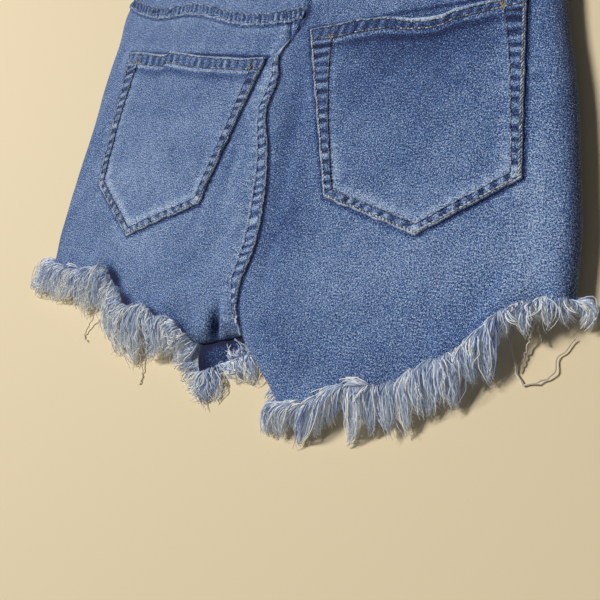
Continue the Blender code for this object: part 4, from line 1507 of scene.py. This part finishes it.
closureLook = dict(
    buttonRadius=0.0085,
    zipBelow=0.004,  # the zip's top, below the band
    zipLength=0.140,
    tapeHalf=0.012,
    teeth=84,
    toothRadius=0.00075,
    shieldWidth=0.042,
    shieldCloth=0.0012,
    flyWidth=0.036,
    flyRows=(0.0, 0.0055),  # in from the fly's outer row
    seamRows=(-0.0016, -0.0062),  # beside the centre-front seam
)


def makeButton():
    # a domed head with a ring groove and a rolled rim, and its post
    centre = np.array([0.0, float(waistY(0.0, waist["frontDip"])) + waist["height"] / 2])
    top = float(frontSurface(np.array(0.0), np.array(centre[1]))[2]) - waist["cloth"] / 2 - 0.0006
    r = closureLook["buttonRadius"]
    t = np.linspace(0, 1, 12)
    dome = [(0.02 * r + 0.60 * r * k, 0.0006 - 0.0004 * k) for k in t]
    groove = [(0.66 * r, 0.0006), (0.70 * r, 0.0007), (0.74 * r, 0.0004)]
    rim = [(r * (0.88 + 0.12 * math.sin(a)), 0.0014 - 0.0013 * math.cos(a)) for a in math.pi * t]
    post = [(0.45 * r, 0.0028), (0.41 * r, 0.0030), (0.40 * r, top), (0.02 * r, top)]
    lathePiece(
        "tackButton", dome + groove + rim + post, centre, brass, ["button"]
    )


def makeZip(topY):
    # the tape, two rows of teeth and the shield behind them
    look = closureLook
    down = mix(topY, topY - look["zipLength"], np.linspace(0, 1, 60))[:, None]
    across = np.linspace(-1, 1, 15)[None, :]
    s, y = look["tapeHalf"] * across + 0 * down, down + 0 * across
    back, face = -halfDenim - 0.0023, -halfDenim - 0.0015
    ridged = face + 0.0002 * hump(np.abs(across) - 0.3, 0.15) + 0 * s
    clothPiece(
        "zipTape", frontSurface, s, y, back + 0 * s, ridged, 0.1 * waves(y, 0.004, 90),
        replaced=["zip"], material=zipTape, slot="zip_tape",
    )
    count = look["teeth"]
    toothY = mix(topY - 0.006, topY - look["zipLength"] + 0.008, np.linspace(0, 1, count))
    sideways = np.where(np.arange(count) % 2 == 0, 1.0, -1.0)
    base = raised(frontSurface, 0 * toothY, toothY, back - 0.0001)
    reach = np.array([-0.0006, 0.0022])
    lines = base[:, None] + (sideways[:, None] * reach)[..., None] * np.array([1.0, 0, 0])
    points, faces = tubeArrays(lines, np.full((1, 2), look["toothRadius"]), 4, 0.6)
    makePiece("zipTeeth", points, faces, brass)
    across = np.linspace(0, 1, 24)[None, :]
    s, y = look["shieldWidth"] * across - look["tapeHalf"] + 0 * down, down + 0 * across
    shield = -halfDenim - 0.0029
    clothPiece(
        "flyShield", frontSurface, s, y, shield - look["shieldCloth"] + 0 * s, shield + 0 * s,
        0.12 * mottle(s, y, 0.02, 92), replaced=["fly_shield"],
    )


def stitchFront(topY):
    # the fly's two curved rows of stitches, and the two of the centre-front seam
    look, rows = closureLook, []
    t = np.linspace(0, 1, 120)
    for offset in look["flyRows"]:
        width = look["flyWidth"] - offset
        turn = ease((t - 0.62) / 0.38)
        s = -(width * (1 - turn**1.6)) - 0.001
        y = mix(topY + 0.002, topY - 0.122 + offset, t)
        rows.append(stitchLines(frontSurface, s, y, halfDenim + 0.0001))
    y = mix(topY - 0.125, garment["crotch"][1] + 0.004, t)
    for offset in look["seamRows"]:
        s = 0 * y + garment["crotch"][0] + offset
        rows.append(stitchLines(frontSurface, s, y, halfDenim + 0.0001))
    stitchPiece("stitchesFront", rows, seed=94)


def makeClosure():
    topY = float(waistY(0.0, waist["frontDip"])) - closureLook["zipBelow"]
    makeButton()
    makeZip(topY)
    stitchFront(topY)
    print("closure made")


# The inner end of the left leg's front, turned up: its four corners, and how far it bellies out
turned = dict(
    crotch=(-0.002, -0.2355, 0.0058),
    inseam=(-0.0390, -0.2440, 0.0054),
    hemCorner=(-0.0374, -0.2664, 0.0046),
    hemFold=(0.0095, -0.2440, 0.0046),
    belly=0.0034,
)


def turnedSurface(u, v):
    # four corners blended, raised as a soft belly: u from the crotch outwards, v down to the hem
    a, b, c, d = (np.array(turned[k]) for k in ("crotch", "inseam", "hemCorner", "hemFold"))
    u, v = np.asarray(u)[..., None], np.asarray(v)[..., None]
    flat = mix(mix(a, b, u), mix(d, c, u), v)
    u, v = u[..., 0], v[..., 0]
    flat[..., 2] += turned["belly"] * np.sin(math.pi * v) * (0.5 + 0.5 * u)
    flat[..., 2] += 0.0004 * waves(u * 0.04, 0.014, 96)
    return flat


def makeTurnedEdge():
    u, v = np.meshgrid(np.linspace(0, 1, 56), np.linspace(0, 1, 44))
    flat = turnedSurface(u, v)
    lift = np.array([0, 0, halfDenim])
    # painted shade: the whole turned piece darker, with painted shadows along its top crease and its
    # left edge under the back's hem; its cut hem paler
    wear = 0.06 * mottle(flat[..., 0], flat[..., 1], 0.02, 97) - 0.85
    wear = wear - 1.5 * hump(v, 0.24) - 1.4 * hump(u - 1, 0.14)
    wear = wear + (0.3 + 0.3 * waves(u * 0.04, 0.003, 98)) * ease((v - 0.90) / 0.10)
    shellPiece(
        "frontLeftTurned", flat + lift, flat - lift, wear, flat[..., :2],
        replaced=["front_left_turned"],
    )


# Fringe: yarns in locks that leave the cut edge, arch up and over, and fall to a point
fringe = dict(
    strand=0.00044,  # radius of a yarn at its root
    rings=8,
    sides=3,
    lockSpacing=0.0050,
    curlPitch=0.013,
    # the least and most for a yarn in its lock
    gather=(0.60, 1.0),  # how far its tip is drawn to the lock's own
    part=(0.68, 1.05),  # its share of the lock's length
    rise=(0.3, 1.3),  # and of its rise
    fall=(0.5, 1.6),  # and of the height of its tip
    scatter=0.0013,
)


def lockArrays(edge, locks, count, seed, curl, wild, pale=0.0, stout=1.0):
    # edge (m, 3) is the cut's line; each lock has its place along it, the step to its tip, its
    # width at the root, its sideways bow as a share of its length, its rise and its tip's height.
    # A yarn is a cubic curve from root to tip through two raised points, with a fine wave.
    draw = np.random.default_rng(seed)
    run = np.r_[0, np.cumsum(np.linalg.norm(np.diff(edge, axis=0), axis=-1))]

    def along(at):
        return np.stack([np.interp(at, run, edge[:, k]) for k in range(3)], -1)

    many = len(locks["at"])
    own = np.repeat(np.arange(many), np.maximum(1, (locks["share"] * count).astype(int)))
    count = len(own)
    across = draw.uniform(-1, 1, count)
    root = along(np.clip(locks["at"][own] + across * locks["width"][own] / 2, 0, run[-1]))
    middle = along(locks["at"])[own]
    reach = np.stack([locks["reachX"], locks["reachY"]], -1)[own]
    gather = draw.uniform(*fringe["gather"], count)[:, None]
    tip = middle[:, :2] + reach + (root - middle)[:, :2] * (1 - gather)
    tip = tip + draw.normal(0, 1, (count, 2)) * fringe["scatter"] * (0.5 + wild)
    part = draw.uniform(*fringe["part"], count)[:, None]
    step = (tip - root[:, :2]) * part
    length = np.linalg.norm(step, axis=-1, keepdims=True)
    turn = np.stack([-step[:, 1], step[:, 0]], -1)
    bow = locks["bow"][own] + draw.normal(0, 0.09 + 0.12 * wild, count)
    rise = locks["rise"][own] * draw.uniform(*fringe["rise"], count)
    tipZ = locks["fall"][own] * draw.uniform(*fringe["fall"], count)
    t = np.linspace(0, 1, fringe["rings"])[None, :]
    weights = [(1 - t) ** 3, 3 * (1 - t) ** 2 * t, 3 * (1 - t) * t**2, t**3]
    bent = bow[:, None] * turn
    controls = [0 * step, 0.30 * step + 0.7 * bent, 0.68 * step + bent, step]
    flat = sum(weight[..., None] * point[:, None] for weight, point in zip(weights, controls))
    rootZ = root[:, 2] + draw.uniform(-0.4, 0.6, count) * garment["denim"]
    heights = [rootZ, rootZ + rise, mix(rootZ, tipZ, 0.55) + 0.8 * rise, tipZ]
    z = sum(weight * height[:, None] for weight, height in zip(weights, heights))
    phase = draw.uniform(0, 2 * math.pi, many)[own, None] + draw.normal(0, 0.8 + wild, (count, 1))
    pitch = fringe["curlPitch"] * draw.uniform(0.6, 1.5, count)[:, None]
    turning = 2 * math.pi * t * length / pitch + phase
    wave = curl * draw.uniform(0.3, 1.3, count)[:, None] * ease(t * 2)
    sideways = turn / (length + 1e-9)
    flat = flat + (wave * np.sin(turning))[..., None] * sideways[:, None]
    z = np.maximum(z + 0.7 * wave * np.cos(0.8 * turning + phase), 0.0004)
    lines = np.concatenate([root[:, None, :2] + flat, z[..., None]], -1)
    radii = stout * fringe["strand"] * (1 - 0.65 * t**2) * draw.uniform(0.7, 1.2, count)[:, None]
    tone = draw.normal(0.56, 0.10, many)[own] + draw.normal(0, 0.30, count)
    # paler towards the tips; darker near the root, painted shade where the yarn leaves the cut edge
    tone = np.clip(tone[:, None] + (0.10 + pale) * (t - 0.3) - 0.16 * (1 - t) ** 4, 0, 1)
    return lines, radii, tone


def fringePiece(name, groups, replaced):
    lines, radii, tone = (np.concatenate(part) for part in zip(*groups))
    points, faces = tubeArrays(lines, radii, fringe["sides"])
    tone = np.repeat(tone.reshape(-1), fringe["sides"])
    return makePiece(
        name, points, faces, frayThread, dict(tone=tone), replaced=replaced
    )


# The locks that stand out on each hem: place across, step to the tip, width, share of the yarns,
# bow, rise and the height of the tip
locksRight = table(
    "x reachX reachY width share bow rise fall",
    [
        (0.0425, -0.013, -0.022, 0.010, 0.05, -0.35, 0.003, 0.004),
        (0.050, -0.016, -0.025, 0.011, 0.06, -0.35, 0.004, 0.004),
        (0.060, -0.016, -0.027, 0.012, 0.06, -0.30, 0.004, 0.004),
        (0.075, -0.016, -0.035, 0.012, 0.08, -0.12, 0.003, 0.003),
        (0.083, -0.012, -0.034, 0.010, 0.06, -0.15, 0.003, 0.003),
        (0.090, -0.009, -0.026, 0.010, 0.05, -0.20, 0.004, 0.004),
        (0.099, -0.004, -0.038, 0.010, 0.06, 0.08, 0.002, 0.002),
        (0.107, -0.016, -0.014, 0.010, 0.05, -0.70, 0.006, 0.010),
        (0.112, -0.002, -0.031, 0.010, 0.05, -0.06, 0.003, 0.004),
        (0.121, 0.002, -0.033, 0.010, 0.05, -0.12, 0.003, 0.005),
        (0.130, 0.004, -0.036, 0.010, 0.06, -0.10, 0.002, 0.004),
        (0.138, 0.004, -0.028, 0.009, 0.04, -0.10, 0.003, 0.006),
        (0.145, 0.002, -0.034, 0.009, 0.05, -0.05, 0.002, 0.005),
        (0.152, 0.004, -0.028, 0.008, 0.04, -0.10, 0.004, 0.008),
        (0.160, 0.002, -0.036, 0.009, 0.05, -0.10, 0.003, 0.005),
        (0.170, 0.001, -0.029, 0.010, 0.06, -0.20, 0.003, 0.008),
        (0.179, 0.001, -0.036, 0.009, 0.07, -0.15, 0.003, 0.006),
        (0.187, -0.001, -0.014, 0.009, 0.03, -0.10, 0.003, 0.012),
        (0.197, 0.001, -0.018, 0.009, 0.04, -0.20, 0.003, 0.011),
        (0.207, 0.002, -0.016, 0.009, 0.03, -0.15, 0.003, 0.011),
        (0.216, 0.003, -0.014, 0.009, 0.03, -0.15, 0.002, 0.008),
        (0.224, 0.007, -0.013, 0.006, 0.03, 0.75, 0.004, 0.006),
        (0.229, 0.009, -0.009, 0.005, 0.03, 0.90, 0.005, 0.006),
    ],
)
locksLeft = table(
    "x reachX reachY width share bow rise fall",
    [
        (0.0405, -0.024, -0.018, 0.006, 0.04, -0.20, 0.004, 0.005),
        (0.048, -0.027, -0.019, 0.009, 0.05, -0.20, 0.005, 0.006),
        (0.058, -0.024, -0.020, 0.011, 0.05, -0.20, 0.006, 0.007),
        (0.068, -0.018, -0.028, 0.011, 0.05, 0.15, 0.006, 0.006),
        (0.078, -0.014, -0.034, 0.011, 0.05, 0.20, 0.005, 0.005),
        (0.087, -0.006, -0.022, 0.010, 0.05, 0.20, 0.006, 0.005),
        (0.096, -0.006, -0.026, 0.009, 0.05, 0.12, 0.005, 0.004),
        (0.105, -0.004, -0.048, 0.011, 0.07, -0.15, 0.006, 0.002),
        (0.116, -0.016, -0.040, 0.011, 0.06, -0.20, 0.006, 0.003),
        (0.125, -0.018, -0.034, 0.010, 0.05, -0.20, 0.005, 0.004),
        (0.134, -0.020, -0.036, 0.010, 0.05, -0.15, 0.005, 0.003),
        (0.146, -0.022, -0.032, 0.010, 0.05, -0.15, 0.006, 0.004),
        (0.156, -0.026, -0.042, 0.010, 0.06, -0.05, 0.005, 0.002),
        (0.168, -0.026, -0.034, 0.010, 0.05, -0.15, 0.004, 0.004),
        (0.180, -0.032, -0.027, 0.010, 0.05, -0.10, 0.004, 0.004),
        (0.193, -0.028, -0.030, 0.010, 0.05, -0.15, 0.004, 0.003),
        (0.206, -0.028, -0.032, 0.010, 0.05, -0.10, 0.003, 0.003),
        (0.216, -0.032, -0.030, 0.009, 0.05, -0.10, 0.003, 0.003),
        (0.224, -0.034, -0.030, 0.008, 0.05, -0.05, 0.003, 0.002),
        (0.230, -0.039, -0.028, 0.006, 0.05, -0.04, 0.001, 0.003),
        (0.234, -0.040, -0.022, 0.006, 0.05, 0.00, 0.001, 0.002),
    ],
)


def hemLine(surface, sign, legEnd):
    # the cut's line in space, led a little way up the inner leg, and the place across along it
    s, y = hemEdge(surface, sign, legEnd, 260)
    y = y + ragged(s)
    crotch = garment["crotch"]
    up = np.linspace(0.22 if sign > 0 else 0.02, 0, 12, endpoint=False)
    s = np.r_[mix(s[0], crotch[0], up), s]
    y = np.r_[mix(y[0], crotch[1], up), y]
    edge = surface(s, y)
    return edge, np.abs(s)


def handLocks(edge, across, rows):
    run = np.r_[0, np.cumsum(np.linalg.norm(np.diff(edge, axis=0), axis=-1))]
    locks = {key: rows[key].copy() for key in rows if key != "x"}
    locks["at"] = np.interp(rows["x"], across, run)
    return locks


def fillLocks(edge, across, plan):
    # many small locks along the whole edge, leaning as the placed ones about them do
    draw = np.random.default_rng(plan["seed"] + 5)
    placed, wild = handLocks(edge, across, plan["rows"]), plan["wild"]
    length = np.linalg.norm(np.diff(edge, axis=0), axis=-1).sum()
    count = int(length / fringe["lockSpacing"] * 1.5)
    at = np.sort(draw.uniform(0, length, count))
    size = plan["scale"] * np.clip(draw.normal(0.62, 0.16, count), 0.3, 1.0)

    def near(key):
        return np.interp(at, placed["at"], placed[key])

    return dict(
        at=at,
        reachX=near("reachX") * size + draw.normal(0, 0.003 * (0.5 + wild), count),
        reachY=near("reachY") * size,
        width=np.full(count, fringe["lockSpacing"] * 1.7),
        share=np.full(count, 1 / count),
        bow=near("bow") * 0.5 + draw.normal(0, 0.15 + 0.2 * wild, count),
        rise=near("rise") * draw.uniform(0.4, 1.3, count),
        fall=near("fall") * draw.uniform(0.8, 2.2, count),
    )


strayPlaces = (  # single long yarns on the floor, each from its root
    [
        (0.186, -0.203, 0.0180), (0.187, -0.213, 0.0090), (0.191, -0.222, 0.0040),
        (0.193, -0.231, 0.0022), (0.196, -0.237, 0.0020), (0.200, -0.240, 0.0016),
        (0.206, -0.2365, 0.0030), (0.210, -0.235, 0.0020), (0.214, -0.231, 0.0030),
        (0.215, -0.223, 0.0022), (0.219, -0.216, 0.0020), (0.224, -0.209, 0.0025),
    ],
    [
        (0.203, -0.194, 0.0190), (0.201, -0.206, 0.0100),
        (0.198, -0.219, 0.0040), (0.196, -0.233, 0.0010),
    ],
    [
        (0.204, -0.193, 0.0190), (0.203, -0.203, 0.0120),
        (0.205, -0.210, 0.0070), (0.207, -0.214, 0.0050),
    ],
    [
        (-0.104, -0.232, 0.0160), (-0.104, -0.256, 0.0060),
        (-0.099, -0.276, 0.0010), (-0.100, -0.286, 0.0008),
    ],
    [
        (-0.150, -0.205, 0.0150), (-0.166, -0.232, 0.0060),
        (-0.178, -0.252, 0.0010), (-0.172, -0.258, 0.0008),
    ],
)


def strayThreads():
    # each row of places bent smoothly, with a fine waver
    made = []
    for number, places in enumerate(strayPlaces):
        places = np.array(places)
        t = np.linspace(0, 1, 60)
        known = np.linspace(0, 1, len(places))
        line = np.stack([smoothCurve(t, known, places[:, k]) for k in range(3)], -1)
        line[:, 0] += 0.0005 * waves(t * 0.05, 0.006, 151 + number)
        line[:, 1] += 0.0005 * waves(t * 0.05, 0.007, 161 + number)
        line[:, 2] = np.maximum(line[:, 2], 0.0005)
        made.append(line)
    points, faces = tubeArrays(np.array(made), np.linspace(0.00062, 0.00040, 60)[None], 6)
    tone = 0.55 + 0.25 * waves(np.arange(len(points)) * 0.0002, 0.05, 170)
    makePiece(
        "strayThreads", points, faces, strayYarn, dict(tone=tone)
    )


# How each hem's yarns are drawn: the yarns in the placed locks and in the small ones between them,
# the size of both, their fine wave, how wild, pale and stout they are, and the seed
fringePlan = dict(
    fringeBackRight=dict(
        hem=(backSurface, 1, "rightLegEdge"), rows=locksRight, placed=1250, filled=650,
        scale=1.0, curl=0.0006, wild=0.35, pale=0.05, stout=1.0, seed=201,
    ),
    fringeBackLeft=dict(
        hem=(backSurface, -1, "leftLegEdge"), rows=locksLeft, placed=1150, filled=330,
        scale=1.0, curl=0.0020, wild=1.1, pale=0.30, stout=1.35, seed=211,
    ),
    fringeFrontRight=dict(
        hem=(frontSurface, 1, "rightLegEdge"), rows=locksRight, placed=300, filled=600,
        scale=0.7, curl=0.0010, wild=0.9, pale=-0.2, stout=1.0, seed=221,
    ),
    fringeFrontLeft=dict(
        hem=(frontSurface, -1, "leftLegFold"), rows=locksLeft, placed=260, filled=420,
        scale=0.55, curl=0.0012, wild=1.0, pale=0.0, stout=1.2, seed=231,
    ),
)


def makeFringes():
    for name, plan in fringePlan.items():
        surface, sign, leg = plan["hem"]
        edge, across = hemLine(surface, sign, garment[leg])
        hand = handLocks(edge, across, plan["rows"])
        for key in ("reachX", "reachY"):
            hand[key] *= plan["scale"]
        fill = fillLocks(edge, across, plan)
        if surface is frontSurface:  # these lie under the back's yarns, on the floor
            hand["rise"], hand["fall"] = hand["rise"] * 0.3, hand["fall"] * 0 + 0.0015
            fill["rise"], fill["fall"] = fill["rise"] * 0.3, fill["fall"] * 0.3
        look = [plan[key] for key in ("curl", "wild", "pale", "stout")]
        groups = [
            lockArrays(edge, hand, plan["placed"], plan["seed"], *look),
            lockArrays(edge, fill, plan["filled"], plan["seed"] + 1, *look),
        ]
        if name == "fringeFrontLeft":
            groups += turnedFringe()
        old = "fringe_" + name[6:].replace("Left", "_left").replace("Right", "_right").lower()
        fringePiece(name, groups, [old])
    strayThreads()
    print("fringes made")


def turnedFringe():
    # short tangled yarns on the turned corner: along its cut, and standing up at the crotch
    t = np.linspace(0, 1, 60)
    cut = turnedSurface(1 - t, np.ones(60))
    rows = table(
        "at reachX reachY width share bow rise fall",
        [
            (0.001, -0.010, -0.018, 0.008, 0.14, 0.20, 0.003, 0.003),
            (0.005, 0.002, -0.027, 0.010, 0.20, -0.10, 0.002, 0.002),
            (0.011, 0.008, -0.024, 0.008, 0.10, 0.10, 0.003, 0.002),
            (0.020, 0.014, -0.006, 0.010, 0.12, 0.30, 0.004, 0.006),
            (0.030, 0.012, -0.010, 0.010, 0.12, -0.20, 0.004, 0.006),
            (0.038, 0.013, -0.016, 0.010, 0.12, 0.15, 0.004, 0.004),
            (0.044, 0.010, -0.020, 0.008, 0.12, 0.20, 0.003, 0.002),
            (0.050, 0.006, -0.016, 0.008, 0.08, -0.30, 0.003, 0.003),
        ],
    )
    upward = table(
        "at reachX reachY width share bow rise fall",
        [
            (0.036, -0.006, 0.007, 0.010, 0.3, 0.30, 0.004, 0.008),
            (0.043, -0.003, 0.009, 0.010, 0.4, -0.20, 0.005, 0.009),
            (0.049, 0.002, 0.008, 0.010, 0.3, -0.30, 0.005, 0.009),
        ],
    )
    return [
        lockArrays(cut, rows, 260, 241, curl=0.0018, wild=1.3, pale=0.1, stout=1.3),
        lockArrays(cut, upward, 70, 242, curl=0.0016, wild=1.2, pale=0.2, stout=1.3),
    ]


# Camera, light and floor. right, up and back are the camera's own axes
view = dict(
    place=(0.2508, -0.1821, 0.3612),
    right=(0.8726, 0.1756, -0.4558),
    up=(-0.0820, 0.9726, 0.2177),
    back=(0.4816, -0.1526, 0.8630),
    lens=33.6,
    sensor=36,
)
studio = dict(
    keyFrom=(-3.00, 0.84, 4.20),
    keySize=1.0,
    keyPower=274,
    keyColour=(1, 0.985, 0.95),
    fillFrom=(0.3, -1.6, 1.8),
    fillSize=1.6,
    fillPower=1.5,
    fillColour=(0.96, 0.98, 1),
    sky=(0.93, 0.96, 1.0, 1),
    skyStrength=0.06,
    floor=linear(232, 214, 178),
    floorHalf=4,
    floorDrop=0.0002,  # so that the underside is clear of it
)


def makeCamera():
    lens = bpy.data.cameras.new("camera")
    lens.lens, lens.sensor_width, lens.clip_start = view["lens"], view["sensor"], 0.01
    camera = bpy.data.objects.new("camera", lens)
    axes = Matrix((view["right"], view["up"], view["back"])).transposed()
    camera.matrix_world = Matrix.Translation(view["place"]) @ axes.to_4x4()
    bpy.context.scene.collection.objects.link(camera)
    bpy.context.scene.camera = camera


def makeLight(name, place, size, power, colour):
    lamp = bpy.data.lights.new(name, "AREA")
    lamp.size, lamp.energy, lamp.color = size, power, colour
    light = bpy.data.objects.new(name, lamp)
    aim = (Vector((0, -0.05, 0)) - Vector(place)).to_track_quat("-Z", "Y")
    light.matrix_world = Matrix.Translation(place) @ aim.to_matrix().to_4x4()
    bpy.context.scene.collection.objects.link(light)


def makeStudio():
    for name in ("key", "fill"):
        makeLight(name, *(studio[name + part] for part in ("From", "Size", "Power", "Colour")))
    world = bpy.data.worlds.new("studio")
    world.use_nodes = True
    sky = world.node_tree.nodes["Background"]
    sky.inputs["Color"].default_value = studio["sky"]
    sky.inputs["Strength"].default_value = studio["skyStrength"]
    bpy.context.scene.world = world
    bpy.context.scene.view_settings.view_transform = "Standard"
    half = studio["floorHalf"]
    corners = [(-half, -half, 0), (half, -half, 0), (half, half, 0), (-half, half, 0)]
    mesh = bpy.data.meshes.new("floor")
    mesh.from_pydata(corners, [], [(0, 1, 2, 3)])
    ground = Finish("paleFloor", Roughness=0.7)
    ground.shader.inputs["Base Color"].default_value = studio["floor"]
    mesh.materials.append(ground.material)
    floor = bpy.data.objects.new("floor", mesh)
    floor.location.z = -studio["floorDrop"]
    bpy.context.scene.collection.objects.link(floor)


makeCamera()
makeStudio()
makePanels()
makeYokes()
makeSeams()
makePocket("left", pocketLeft, headLeft, (0.0060, 0.0100), 110)
makePocket("right", pocketRight, headRight, (0.0165, 0.0090), 130)
makeWaistband()
makeLoops()
makeClosure()
makeTurnedEdge()
makeFringes()
